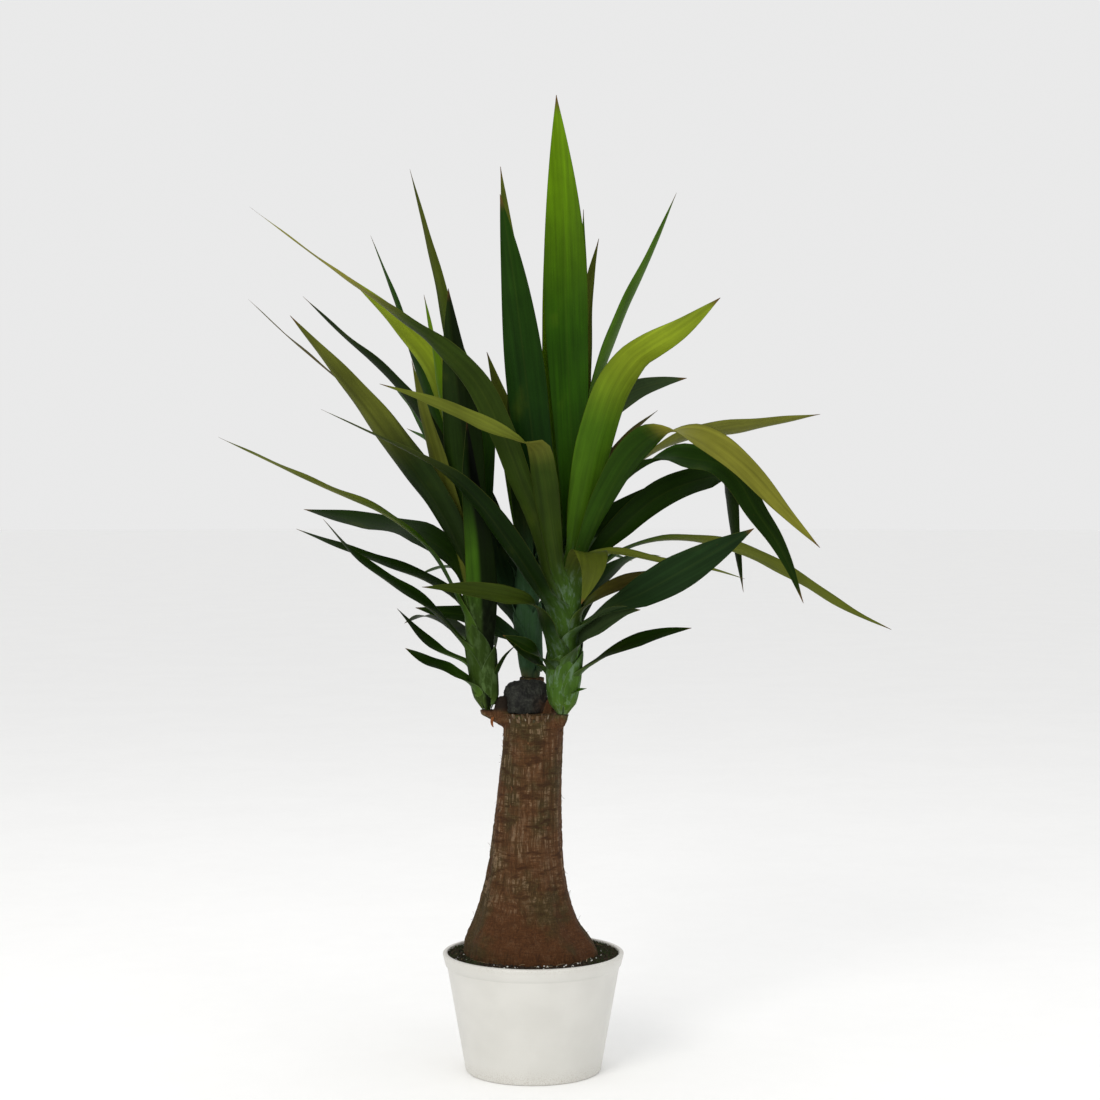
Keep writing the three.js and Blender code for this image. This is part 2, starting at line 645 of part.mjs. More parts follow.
// A leaf blade: a shallow V section swept along its midrib, each face split alike
function bladeSolid([, width, widest, fold, path]) {
  const curve = new THREE.CatmullRomCurve3(path.map(([x, y, z]) => new THREE.Vector3(x, y, z)));
  const stations = stationsFor(curve.getLength());
  const foldAngle = THREE.MathUtils.degToRad(fold);
  const rings = [];
  for (let i = 0; i <= stations; i++) {
    const along = i / stations;
    const middle = curve.getPointAt(along);
    const tangent = curve.getTangentAt(along);
    const [facing, roll] = turnAt(path, along);
    const side = new THREE.Vector3(-Math.sin(facing), Math.cos(facing), 0);
    side.addScaledVector(tangent, -side.dot(tangent)).normalize();
    side.applyAxisAngle(tangent, roll);
    const upper = new THREE.Vector3().crossVectors(tangent, side);
    const half = Math.max(BLADE_TIP_HALF_WIDTH, (width / 2) * widthShare(along, widest));
    const across = half * Math.cos(foldAngle);
    const lift = half * Math.sin(foldAngle);
    const place = (s, u) => middle.clone().addScaledVector(side, s).addScaledVector(upper, u);
    const mid = BLADE_MID_THICKNESS / 2;
    const edge = BLADE_EDGE_THICKNESS / 2;
    rings.push([
      place(-across, lift - edge),
      place(0, -mid),
      place(across, lift - edge),
      place(across, lift + edge),
      place(0, mid),
      place(-across, lift + edge),
    ]);
  }
  return bladeLoft(rings);
}

// Closes the blade's rings, with the caps split at the midrib
function bladeLoft(rings) {
  const positions = rings.flat().flatMap((p) => [p.x, p.y, p.z]);
  const index = [];
  const quad = (a, b, c, d) => index.push(a, b, c, a, c, d);
  for (let r = 0; r < rings.length - 1; r++) {
    const a = 6 * r;
    const b = a + 6;
    quad(a, a + 1, b + 1, b);
    quad(a + 1, a + 2, b + 2, b + 1);
    quad(a + 2, a + 3, b + 3, b + 2);
    index.push(a + 3, a + 4, b + 3, a + 4, b + 4, b + 3);
    index.push(a + 4, a + 5, b + 4, a + 5, b + 5, b + 4);
    quad(a + 5, a, b, b + 5);
  }
  const e = 6 * (rings.length - 1);
  index.push(0, 4, 1, 0, 5, 4, 1, 3, 2, 1, 4, 3);
  index.push(e, e + 1, e + 4, e, e + 4, e + 5, e + 1, e + 2, e + 3, e + 1, e + 3, e + 4);
  const geometry = new THREE.BufferGeometry();
  geometry.setAttribute("position", new THREE.Float32BufferAttribute(positions, 3));
  geometry.setIndex(index);
  return solidOf(geometry);
}

// A leafy stem as one body, with the small closed pockets between the leaf bases filled
function shootSolid(stem, leaves) {
  const whole = addAll([stemSolid(stem), ...leaves.map(bladeSolid)]);
  const bodies = whole.decompose().filter((body) => body.volume() > 0);
  if (bodies.length !== 1) throw new Error("a leaf has come away from its stem");
  return bodies[0];
}

const part = new THREE.Group();
part.name = "potted_yucca";

function addPiece(name, solid, colour, roughness) {
  const material = new THREE.MeshStandardMaterial({ color: colour, roughness });
  const mesh = new THREE.Mesh(geometryOf(solid), material);
  mesh.name = name;
  part.add(mesh);
}

addPiece("pot", potSolid(), 0xe9e6df, 0.5);
addPiece("soil", soilSolid(), 0x2b2019, 1);
addPiece("cane", caneSolid(), 0x6b4630, 0.9);
addPiece("wax_seal", waxSolid(), 0x221c1a, 0.7);
addPiece("shoot_left", shootSolid(STEM_LEFT, LEAVES_LEFT), 0x3a5a1e, 0.5);
addPiece("shoot_right", shootSolid(STEM_RIGHT, LEAVES_RIGHT), 0x4c7a1c, 0.5);
addPiece("shoot_back", shootSolid(STEM_BACK, LEAVES_BACK), 0x2c4f2a, 0.5);

export default part;
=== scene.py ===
"""Dresses a potted yucca: its leaves, cane, wax seal, soil and pot, then its stage, lights and camera.

The tables hold millimetres and degrees in the part's own frame. Blender's own lengths are metres.
"""

from __future__ import annotations

import logging
import math
from collections.abc import Callable
from dataclasses import dataclass
from enum import Enum
from typing import NamedTuple

import bmesh
import bpy
import numpy as np
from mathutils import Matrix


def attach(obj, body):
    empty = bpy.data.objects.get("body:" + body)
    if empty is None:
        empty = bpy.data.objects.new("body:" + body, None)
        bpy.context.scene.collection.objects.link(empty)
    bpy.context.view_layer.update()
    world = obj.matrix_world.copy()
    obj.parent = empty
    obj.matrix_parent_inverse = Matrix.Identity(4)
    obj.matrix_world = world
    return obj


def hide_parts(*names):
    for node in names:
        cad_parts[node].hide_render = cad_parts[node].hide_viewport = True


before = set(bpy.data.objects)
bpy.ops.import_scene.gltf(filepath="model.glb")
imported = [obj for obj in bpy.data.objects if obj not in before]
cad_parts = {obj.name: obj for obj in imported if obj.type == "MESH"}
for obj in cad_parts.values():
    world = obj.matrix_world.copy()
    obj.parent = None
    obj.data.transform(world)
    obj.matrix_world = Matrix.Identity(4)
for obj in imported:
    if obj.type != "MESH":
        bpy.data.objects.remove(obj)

MM = 0.001
LOG = logging.getLogger("yucca")
PHASE_SPREAD = 97.0
WAVE_LENGTH = 72.0
COLOUR_KEYS = ("tone", "under", "clasp")

Colour = tuple[float, float, float]
Range = tuple[float, float]
Numbers = np.ndarray | float
Rows = tuple[tuple[float, ...], ...]
Strand = dict[str, np.ndarray]
Faces = list[tuple[int, ...]]
Piece = bpy.types.Object
Material = bpy.types.Material
Tree = bpy.types.NodeTree
Socket = bpy.types.NodeSocket


@dataclass(frozen=True)
class Pigment:
    """The colour of a leaf on its upper side and on its underside."""

    upper: Colour
    under: Colour


class Tone(Enum):
    """The leaf colours of this plant with light and shade painted in, from the lit top leaves painted light
    to the old leaves in shade painted dark.
    """

    SUNLIT = Pigment((0.195, 0.260, 0.010), (0.170, 0.225, 0.012))
    BRIGHT = Pigment((0.096, 0.190, 0.002), (0.084, 0.160, 0.004))
    LIGHT = Pigment((0.048, 0.126, 0.003), (0.046, 0.108, 0.005))
    GREEN = Pigment((0.028, 0.090, 0.002), (0.030, 0.078, 0.004))
    FIR = Pigment((0.008, 0.036, 0.001), (0.010, 0.033, 0.002))
    BOTTLE = Pigment((0.003, 0.023, 0.001), (0.005, 0.021, 0.002))
    DEEP = Pigment((0.015, 0.052, 0.001), (0.017, 0.045, 0.003))
    MOSSY = Pigment((0.018, 0.040, 0.002), (0.021, 0.038, 0.004))
    DARK = Pigment((0.007, 0.020, 0.001), (0.009, 0.019, 0.003))
    NIGHT = Pigment((0.003, 0.011, 0.001), (0.004, 0.012, 0.001))
    TEAL = Pigment((0.009, 0.024, 0.006), (0.010, 0.024, 0.008))
    GREY = Pigment((0.026, 0.044, 0.015), (0.030, 0.046, 0.020))
    DULL = Pigment((0.026, 0.041, 0.004), (0.030, 0.042, 0.006))
    OLIVE = Pigment((0.058, 0.073, 0.007), (0.068, 0.078, 0.010))
    STRAW = Pigment((0.098, 0.116, 0.013), (0.125, 0.132, 0.020))
    GOLD = Pigment((0.150, 0.150, 0.018), (0.190, 0.180, 0.024))
    BROWN = Pigment((0.048, 0.041, 0.008), (0.062, 0.048, 0.011))


@dataclass(frozen=True)
class Blade:
    """One leaf: its name, the tones at its foot and its tip, and its form.

    The widest place is a share of the length and the fold is in degrees. A point of the midrib path is
    x, y, z, the bearing that the underside faces there, and the blade's roll round its midrib where it
    has one. The tones meet at a share of the length, over a stretch of twice the softness; they hold
    painted light and shade, lighter where a leaf is lit and darker where it lies in shade. The foot's
    light goes from 0 for a clasping foot painted dark, partly as painted shade, to 1 for a pale one,
    and the dusk says how much darker the side right of the midrib is painted, as painted shade. A
    higher taper keeps the blade wide for longer, and the foot's colour reaches up a number of times as
    far as the blade clasps its stem.
    """

    name: str
    low_tone: Tone
    high_tone: Tone
    width: float
    widest: float
    fold: float
    path: Rows
    change: float = 0.43
    softness: float = 0.31
    foot_light: float = 0.8
    dusk: float = 0.0
    taper: float = 1.7
    foot_reach: float = 1.25


# Stem axes: x, y, z and radius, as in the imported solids
STEM_LEFT = (
    (-52, -5, 411, 5.5), (-52.5, -5, 418, 9.5), (-53.5, -5.5, 428, 12.5), (-55, -6, 440, 13.5),
    (-58, -8, 468, 13.5), (-64, -10, 535, 13), (-68, -10, 590, 11), (-70, -10, 640, 6),
)
STEM_RIGHT = (
    (33, -20, 407, 5.5), (33, -20, 413, 9.5), (33, -20.5, 420, 13), (33, -21, 430, 15.3),
    (34, -22, 445, 16.5), (35, -24, 490, 17), (37, -25, 540, 16), (41, -25, 600, 8),
)
STEM_BACK = (
    (-2, 31, 445, 11), (-2.5, 31.5, 458, 12.5), (-6, 36, 500, 13), (-8, 39, 550, 12), (-8, 40, 590, 6),
)
# Leaves by shoot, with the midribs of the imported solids
LEAVES_LEFT = (
    Blade("broad outer", Tone.DARK, Tone.OLIVE, 44, 0.5, 16, (
        (-62, -12, 470, 200), (-73, -22, 564, 215), (-104, -38, 638, 235), (-147, -55, 702, 245),
        (-190, -70, 761, 245), (-264, -95, 850, 240)), 0.6, 0.1),
    Blade("slim outer", Tone.OLIVE, Tone.BROWN, 26, 0.5, 12, (
        (-64, -8, 500, 180), (-76, -2, 580, 180), (-106, 10, 660, 178), (-152, 25, 726, 176),
        (-211, 40, 775, 176), (-282, 55, 835, 176), (-330, 65, 880, 176))),
    Blade("dark upper", Tone.DARK, Tone.DARK, 32, 0.5, 16, (
        (-66, -12, 510, 190), (-80, -10, 626, 205), (-110, -12, 716, 215), (-161, -18, 786, 215),
        (-211, -23, 831, 212), (-257, -28, 876, 210))),
    Blade("olive broad", Tone.DEEP, Tone.SUNLIT, 40, 0.6, 14, (
        (-66, -10, 515, 170), (-76, -4, 626, 190), (-89, 5, 716, 220), (-110, 12, 794, 240),
        (-152, 15, 848, 245), (-210, 18, 902, 240)), 0.55, 0.2),
    Blade("slim upright", Tone.GREEN, Tone.DEEP, 30, 0.5, 14, (
        (-66, -4, 530, 150), (-82, 14, 626, 150), (-108, 40, 717, 150), (-132, 48, 793, 155),
        (-158, 54, 873, 160), (-188, 60, 953, 165))),
    Blade("olive short", Tone.OLIVE, Tone.OLIVE, 26, 0.5, 14, (
        (-64, -16, 500, 220), (-84, -25, 604, 235), (-104, -36, 682, 240), (-122, -46, 749, 240),
        (-134, -55, 803, 240))),
    Blade("tall", Tone.DEEP, Tone.OLIVE, 32, 0.45, 16, (
        (-66, 2, 560, 120), (-70, 12, 626, 125), (-80, 26, 739, 130), (-105, 36, 877, 145),
        (-122, 42, 947, 150), (-142, 48, 1028, 155)), 0.6, 0.25),
    # painted shade: the right half of this blade is painted darker
    Blade("dark upright", Tone.DEEP, Tone.DARK, 46, 0.5, 14, (
        (-62, -14, 520, 260), (-69, -20, 604, 265), (-75, -30, 671, 268), (-81, -42, 749, 270),
        (-90, -56, 837, 270), (-93, -64, 882, 270)), 0.43, 0.31, 0.6, 0.5),
    Blade("young", Tone.LIGHT, Tone.BRIGHT, 20, 0.5, 12, (
        (-68, -9, 590, 200), (-73, -8, 626, 200), (-94, -14, 716, 215), (-104, -18, 778, 220),
        (-116, -22, 846, 220), (-122, -26, 878, 220))),
    Blade("long low", Tone.DEEP, Tone.STRAW, 28, 0.45, 14, (
        (-60, -12, 480, 195), (-82, -22, 531, 196), (-115, -40, 591, 196, -10), (-163, -62, 632, 196, -18),
        (-233, -88, 665, 196, -18), (-338, -125, 717, 196, -18)), 0.5, 0.2),
    Blade("dark level", Tone.DARK, Tone.DARK, 48, 0.55, 12, (
        (-64, -4, 520, 150), (-89, 6, 578, 125), (-129, 22, 607, 100), (-183, 45, 619, 92),
        (-268, 75, 637, 92))),
    Blade("low broad", Tone.DARK, Tone.DARK, 30, 0.5, 16, (
        (-60, -10, 445, 195), (-80, -16, 485, 205, -15), (-115, -30, 526, 220, -40),
        (-159, -42, 557, 225, -45), (-197, -52, 586, 225, -45), (-232, -62, 628, 225, -40))),
    Blade("low level", Tone.DULL, Tone.DARK, 30, 0.5, 16, (
        (-62, -8, 470, 170), (-82, -4, 530, 160), (-111, 4, 552, 140), (-157, 14, 571, 130),
        (-215, 24, 592, 130), (-272, 32, 615, 130)), 0.2, 0.2),
    Blade("small low", Tone.DEEP, Tone.DARK, 18, 0.5, 14, (
        (-58, -4, 445, 165), (-80, 2, 462, 160), (-115, 12, 482, 150, -12), (-156, 24, 524, 150, -12))),
    Blade("lowest", Tone.DEEP, Tone.DARK, 24, 0.5, 14, (
        (-53, -8, 424, 200), (-69, -16, 436, 190), (-93, -28, 457, 165, -15), (-120, -40, 469, 150, -20),
        (-142, -50, 484, 140, -20))),
    Blade("inner stub", Tone.DEEP, Tone.DARK, 10, 0.5, 12, (
        (-50, -8, 425, 330), (-42, -14, 451, 330), (-32, -20, 472, 320), (-18, -26, 487, 310))),
    # painted shade: this blade is painted dark above its lit foot, with a dark clasping foot and a darker
    # right half
    Blade("front upright", Tone.GREEN, Tone.NIGHT, 36, 0.4, 12, (
        (-54, -14, 430, 270), (-56, -22, 480, 270), (-57, -29, 536, 270), (-61, -44, 604, 268),
        (-69, -64, 671, 266), (-72, -88, 736, 266)), 0.62, 0.14, 0.12, 0.9, 1.7, 2.3),
    Blade("back left", Tone.DARK, Tone.DEEP, 42, 0.5, 16, (
        (-66, -2, 540, 110), (-82, 45, 625, 112), (-106, 100, 700, 115), (-138, 160, 752, 118),
        (-172, 220, 785, 120))),
    Blade("back upright", Tone.DEEP, Tone.GREEN, 44, 0.5, 14, (
        (-64, -2, 560, 95), (-70, 42, 640, 95), (-76, 92, 725, 95), (-83, 145, 795, 95),
        (-89, 190, 840, 95))),
    Blade("back inner", Tone.NIGHT, Tone.DEEP, 32, 0.5, 14, (
        (-62, -4, 540, 80), (-62, 24, 620, 80), (-58, 50, 690, 80), (-52, 76, 740, 80),
        (-48, 94, 780, 80))),
    Blade("back low left", Tone.DARK, Tone.DARK, 30, 0.5, 18, (
        (-60, -2, 470, 125), (-80, 35, 490, 125), (-105, 75, 505, 125), (-130, 110, 510, 125),
        (-155, 140, 500, 125))),
    Blade("back low", Tone.DARK, Tone.DARK, 28, 0.5, 18, (
        (-56, -2, 450, 90), (-56, 35, 480, 88), (-54, 75, 495, 85), (-50, 115, 490, 85),
        (-46, 150, 470, 85))),
)
LEAVES_RIGHT = (
    Blade("tallest", Tone.DEEP, Tone.BRIGHT, 50, 0.6, 10, (
        (40, -24, 560, 90), (45, -26, 626, 90), (43, -28, 716, 90), (38, -30, 828, 90), (34, -30, 962, 90),
        (26, -28, 1100, 90)), 0.74, 0.26),
    Blade("dark tall", Tone.BOTTLE, Tone.FIR, 46, 0.55, 10, (
        (34, -34, 520, 280), (22, -40, 560, 275), (13, -44, 626, 272), (0, -48, 716, 270),
        (-10, -52, 804, 270), (-21, -56, 893, 270), (-36, -60, 986, 270)), 0.6, 0.3),
    Blade("tall behind", Tone.LIGHT, Tone.OLIVE, 28, 0.5, 12, (
        (36, -20, 570, 180), (16, -8, 626, 130), (2, -4, 716, 100), (-14, 0, 830, 95), (-28, 4, 943, 95),
        (-37, 6, 1025, 95))),
    Blade("bright strip", Tone.LIGHT, Tone.BRIGHT, 30, 0.55, 12, (
        (38, -20, 575, 100), (28, -16, 671, 95), (25, -13, 784, 95), (19, -10, 874, 95),
        (13, -8, 942, 95))),
    Blade("slim strip", Tone.LIGHT, Tone.LIGHT, 18, 0.5, 12, (
        (44, -18, 585, 60), (48, 2, 671, 65), (53, 12, 784, 70), (57, 14, 875, 70), (57, 15, 943, 70),
        (57, 16, 978, 70))),
    Blade("olive upright", Tone.DEEP, Tone.OLIVE, 28, 0.5, 12, (
        (42, -16, 570, 80), (46, 16, 649, 80), (53, 34, 762, 75), (61, 40, 871, 70), (67, 42, 910, 70),
        (75, 44, 948, 70))),
    Blade("right upright", Tone.LIGHT, Tone.LIGHT, 32, 0.55, 10, (
        (44, -18, 565, 20), (56, -8, 682, 345), (73, 6, 779, 338), (103, 20, 863, 334), (134, 32, 929, 334),
        (164, 42, 1000, 334))),
    Blade("bright bent", Tone.LIGHT, Tone.SUNLIT, 44, 0.45, 12, (
        (42, -34, 540, 300), (47, -38, 582, 300), (57, -42, 649, 290), (72, -46, 721, 285),
        (90, -50, 774, 280), (111, -56, 804, 276), (126, -62, 815, 268), (162, -74, 837, 258),
        (205, -86, 870, 256)), 0.6, 0.14, 0.8, 0.0, 2.5),
    Blade("broad folded", Tone.DEEP, Tone.GOLD, 42, 0.5, 14, (
        (40, -32, 530, 320), (56, -38, 590, 315), (80, -46, 649, 300), (110, -58, 699, 290),
        (136, -70, 721, 285), (165, -82, 723, 280), (194, -92, 711, 280), (231, -104, 682, 280),
        (273, -116, 636, 280), (310, -126, 598, 280)), 0.5, 0.025),
    Blade("long level", Tone.OLIVE, Tone.STRAW, 34, 0.55, 14, (
        (42, -16, 555, 20), (58, -8, 613, 25), (89, 5, 660, 35), (127, 22, 695, 45, -30),
        (180, 42, 721, 45, -38), (251, 64, 733, 40, -45), (335, 88, 748, 35, -45))),
    Blade("dark arch", Tone.DEEP, Tone.DARK, 35, 0.5, 14, (
        (42, -26, 540, 340), (62, -20, 618, 330), (92, -22, 662, 315), (128, -24, 688, 310, 20),
        (156, -26, 697, 310, 40), (182, -28, 694, 310, 45), (210, -32, 688, 310, 50),
        (228, -35, 672, 310, 50), (249, -38, 636, 310, 45), (269, -41, 607, 310, 45),
        (285, -44, 576, 310, 45), (301, -48, 534, 310, 45))),
    Blade("broken", Tone.DARK, Tone.DARK, 36, 0.5, 14, (
        (42, -24, 520, 10), (63, -16, 575, 20, 20), (100, -4, 617, 35, 45), (144, 8, 653, 45, 45),
        (190, 16, 671, 50, 45), (214, 20, 673, 50, 45), (222, 21, 657, 45, 20), (230, 22, 603, 35),
        (240, 22, 543, 30))),
    Blade("longest low", Tone.DEEP, Tone.STRAW, 30, 0.5, 14, (
        (38, -24, 500, 10), (63, -22, 557, 10), (98, -20, 589, 10), (137, -18, 602, 15),
        (188, -16, 602, 20, 20), (244, -14, 587, 20, 40), (301, -12, 558, 20, 48), (357, -10, 524, 15, 48),
        (405, -8, 502, 10, 48)), 0.38, 0.12),
    Blade("front broad", Tone.GREY, Tone.TEAL, 42, 0.6, 12, (
        (34, -30, 470, 320), (50, -42, 498, 340), (80, -58, 525, 385), (123, -80, 548, 415),
        (171, -104, 577, 428), (238, -136, 619, 428)), 0.3, 0.2),
    Blade("brown slim", Tone.BROWN, Tone.BROWN, 26, 0.5, 14, (
        (36, -28, 490, 345), (64, -34, 533, 345, 25), (103, -40, 556, 350, 45), (136, -44, 565, 360, 45),
        (163, -48, 575, 360, 45))),
    Blade("level slim", Tone.OLIVE, Tone.STRAW, 20, 0.5, 14, (
        (40, -34, 540, 340), (56, -44, 585, 340), (85, -52, 591, 350, 22), (146, -60, 580, 370, 22),
        (198, -66, 572, 370, 22), (234, -70, 562, 370, 22))),
    Blade("front curl", Tone.DULL, Tone.OLIVE, 38, 0.5, 10, (
        (42, -36, 520, 290), (50, -54, 572, 285), (62, -95, 592, 280), (65, -137, 576, 275),
        (60, -160, 559, 270), (52, -174, 540, 270))),
    Blade("low right", Tone.DULL, Tone.DARK, 22, 0.65, 14, (
        (32, -22, 425, 330), (52, -25, 449, 350), (80, -28, 473, 360, 15), (120, -34, 491, 395, 27),
        (147, -38, 500, 400, 27), (177, -42, 506, 400, 27))),
    Blade("low grey", Tone.GREY, Tone.GREY, 34, 0.5, 14, (
        (32, -28, 430, 310), (44, -38, 468, 320), (57, -50, 496, 340, 35), (71, -58, 507, 360, 35),
        (84, -68, 518, 380, 35), (98, -78, 525, 395, 35), (118, -92, 529, 395, 35))),
    Blade("stub", Tone.LIGHT, Tone.GREEN, 13, 0.5, 12, (
        (30, -26, 415, 300), (46, -32, 433, 320, 30), (60, -36, 438, 340, 40))),
    Blade("longest", Tone.MOSSY, Tone.GOLD, 30, 0.45, 9, (
        (30, -32, 500, 260), (19, -48, 560, 262), (7, -56, 616, 264), (-14, -70, 671, 264),
        (-36, -84, 728, 262), (-63, -94, 779, 258), (-101, -105, 817, 240), (-143, -115, 847, 215),
        (-217, -133, 899, 195), (-300, -150, 961, 190)), 0.74, 0.1),
    Blade("bent olive", Tone.MOSSY, Tone.STRAW, 30, 0.45, 14, (
        (33, -38, 520, 275), (27, -58, 571, 275), (19, -78, 627, 272), (12, -92, 676, 265),
        (4, -104, 706, 250), (-14, -112, 713, 235, -35), (-57, -126, 733, 225, -70),
        (-110, -142, 756, 222, -72), (-162, -158, 773, 215, -60)), 0.5, 0.06),
    Blade("crossing", Tone.NIGHT, Tone.DULL, 34, 0.4, 14, (
        (28, -34, 490, 260), (17, -50, 532, 255), (-3, -66, 568, 250), (-30, -82, 608, 240),
        (-57, -94, 644, 235), (-90, -106, 676, 225), (-133, -116, 701, 205), (-186, -126, 727, 195),
        (-227, -134, 747, 190)), 0.66, 0.12),
    Blade("low crossing", Tone.NIGHT, Tone.DULL, 30, 0.55, 16, (
        (32, -28, 450, 240), (22, -48, 482, 240), (13, -62, 511, 225), (0, -74, 534, 195, -15),
        (-30, -86, 543, 150, -35), (-74, -100, 551, 135, -35), (-120, -114, 555, 135, -35)), 0.42, 0.12),
    Blade("small inner", Tone.DARK, Tone.DARK, 22, 0.5, 14, (
        (28, -28, 440, 240), (16, -42, 465, 235), (3, -56, 480, 190, -25), (-11, -64, 490, 150, -40),
        (-33, -74, 500, 140, -40))),
    Blade("small dark", Tone.DARK, Tone.DARK, 20, 0.5, 14, (
        (28, -20, 432, 200), (8, -14, 459, 190, -15), (-13, -14, 480, 150, -30),
        (-34, -16, 496, 140, -30))),
    Blade("back right", Tone.DEEP, Tone.GREEN, 40, 0.5, 16, (
        (42, -18, 510, 60), (60, 20, 572, 58), (86, 75, 610, 62), (110, 135, 638, 66),
        (132, 195, 648, 68))),
    Blade("back low right", Tone.DARK, Tone.DEEP, 32, 0.5, 18, (
        (36, -16, 470, 50), (60, 25, 526, 48), (88, 68, 562, 48), (120, 112, 580, 50),
        (152, 155, 580, 52))),
    Blade("back lowest", Tone.DARK, Tone.DARK, 28, 0.5, 18, (
        (34, -14, 440, 85), (36, 25, 480, 85), (40, 62, 500, 82), (46, 100, 500, 80), (51, 130, 490, 80))),
)
LEAVES_BACK = (
    Blade("olive upright", Tone.GREEN, Tone.OLIVE, 30, 0.5, 14, (
        (-7, 38, 560, 100), (-12, 42, 602, 100), (-21, 46, 683, 105), (-29, 50, 735, 110),
        (-42, 54, 778, 115), (-54, 58, 819, 115))),
    Blade("dark upright", Tone.DARK, Tone.DARK, 28, 0.5, 12, (
        (-7, 36, 550, 260), (-10, 30, 603, 262), (-15, 26, 683, 265), (-22, 22, 740, 265),
        (-29, 18, 787, 265))),
    Blade("inner left", Tone.TEAL, Tone.NIGHT, 42, 0.45, 14, (
        (-10, 36, 505, 135), (-31, 42, 552, 125), (-46, 60, 606, 120), (-56, 84, 650, 120),
        (-66, 110, 684, 115)), 0.5, 0.2),
    Blade("low crossing", Tone.TEAL, Tone.DARK, 28, 0.5, 14, (
        (0, 30, 460, 250), (-7, 18, 468, 240), (-20, 13, 481, 200, -20), (-36, 16, 498, 150, -35),
        (-68, 26, 514, 115, -35), (-107, 30, 520, 105, -35), (-135, 26, 525, 105, -35))),
    Blade("right low", Tone.DARK, Tone.DARK, 34, 0.5, 16, (
        (-5, 38, 545, 20), (35, 45, 598, 30, 25), (83, 52, 622, 40, 55), (135, 62, 650, 45, 60),
        (175, 70, 672, 45, 60), (212, 76, 680, 45, 60))),
    Blade("right upper", Tone.GREY, Tone.GREY, 34, 0.55, 14, (
        (-6, 40, 575, 50), (14, 48, 640, 50), (60, 64, 725, 50, 20), (112, 84, 772, 50, 50),
        (148, 96, 785, 50, 60), (180, 106, 791, 50, 60)), 0.5, 0.3, 0.8, 0.0, 2.2),
    Blade("right middle", Tone.DARK, Tone.BROWN, 28, 0.5, 14, (
        (-5, 39, 560, 40), (20, 44, 610, 40), (58, 50, 655, 40), (88, 56, 694, 40), (117, 62, 729, 40),
        (144, 68, 752, 40))),
    Blade("back upright", Tone.DEEP, Tone.GREEN, 44, 0.5, 14, (
        (-8, 42, 560, 95), (-10, 90, 640, 95), (-16, 150, 720, 95), (-22, 215, 770, 95),
        (-28, 280, 790, 95))),
    Blade("back right", Tone.TEAL, Tone.DEEP, 42, 0.5, 16, (
        (-6, 42, 540, 55), (22, 88, 605, 55), (58, 145, 660, 55), (98, 205, 690, 55), (142, 262, 690, 55))),
    Blade("back left", Tone.DEEP, Tone.DEEP, 42, 0.5, 16, (
        (-10, 42, 540, 125), (-42, 88, 605, 127), (-78, 138, 665, 128), (-116, 190, 710, 130),
        (-158, 240, 735, 132))),
    Blade("back low right", Tone.TEAL, Tone.DEEP, 34, 0.5, 18, (
        (-2, 38, 480, 60), (24, 80, 535, 58), (54, 125, 568, 55), (86, 170, 580, 52), (120, 212, 572, 50))),
    Blade("back low left", Tone.DARK, Tone.DEEP, 34, 0.5, 18, (
        (-8, 38, 480, 125), (-40, 78, 530, 128), (-72, 118, 558, 130), (-106, 158, 566, 132),
        (-140, 195, 556, 135))),
    Blade("back low", Tone.TEAL, Tone.DARK, 32, 0.5, 18, (
        (-6, 40, 470, 90), (-8, 90, 515, 88), (-4, 140, 540, 85), (2, 190, 545, 82), (10, 240, 530, 80))),
    Blade("young", Tone.GREEN, Tone.DEEP, 34, 0.5, 12, (
        (-9, 42, 580, 95), (-14, 66, 660, 92), (-12, 82, 740, 90), (-8, 96, 810, 90))),
)


# Sums on plain numbers
def eased(share: np.ndarray) -> np.ndarray:
    """Returns a share from 0 to 1 with a soft start and end."""
    held = np.clip(share, 0, 1)
    return held * held * (3 - 2 * held)


def circle(sides: int) -> np.ndarray:
    """Returns the angles of evenly spaced points round a circle."""
    return np.linspace(0, math.tau, sides, endpoint=False)


def outward(turn: float) -> np.ndarray:
    """Returns the level direction that an angle points in."""
    return np.array([math.cos(turn), math.sin(turn), 0])


def ring(angle: np.ndarray, wide: Numbers, deep: Numbers, x: float, y: float, height: float) -> np.ndarray:
    """Returns the points of a level ring from its reach along x and y and its middle."""
    level = np.full_like(angle, height)
    return np.stack([x + wide * np.cos(angle), y + deep * np.sin(angle), level], axis=1)


def smooth_rows(rows: Rows, heights: np.ndarray) -> np.ndarray:
    """Reads a table of sections at any heights, with a smooth line between them.

    Args:
        rows: sections that begin with their height.
        heights: where the sections are wanted.

    Returns:
        One row of the remaining columns for each height.
    """
    table = np.array(rows, float)
    at = table[:, 0]
    values = table[:, 1:]
    slopes = np.gradient(values, at, axis=0)
    held = np.clip(heights, at[0], at[-1])
    low = np.clip(np.searchsorted(at, held, side="right") - 1, 0, len(at) - 2)
    span = at[low + 1] - at[low]
    t = ((held - at[low]) / span)[:, None]
    span = span[:, None]
    start = values[low] * (2 * t**3 - 3 * t**2 + 1) + slopes[low] * span * (t**3 - 2 * t**2 + t)
    end = values[low + 1] * (3 * t**2 - 2 * t**3) + slopes[low + 1] * span * (t**3 - t**2)
    return start + end


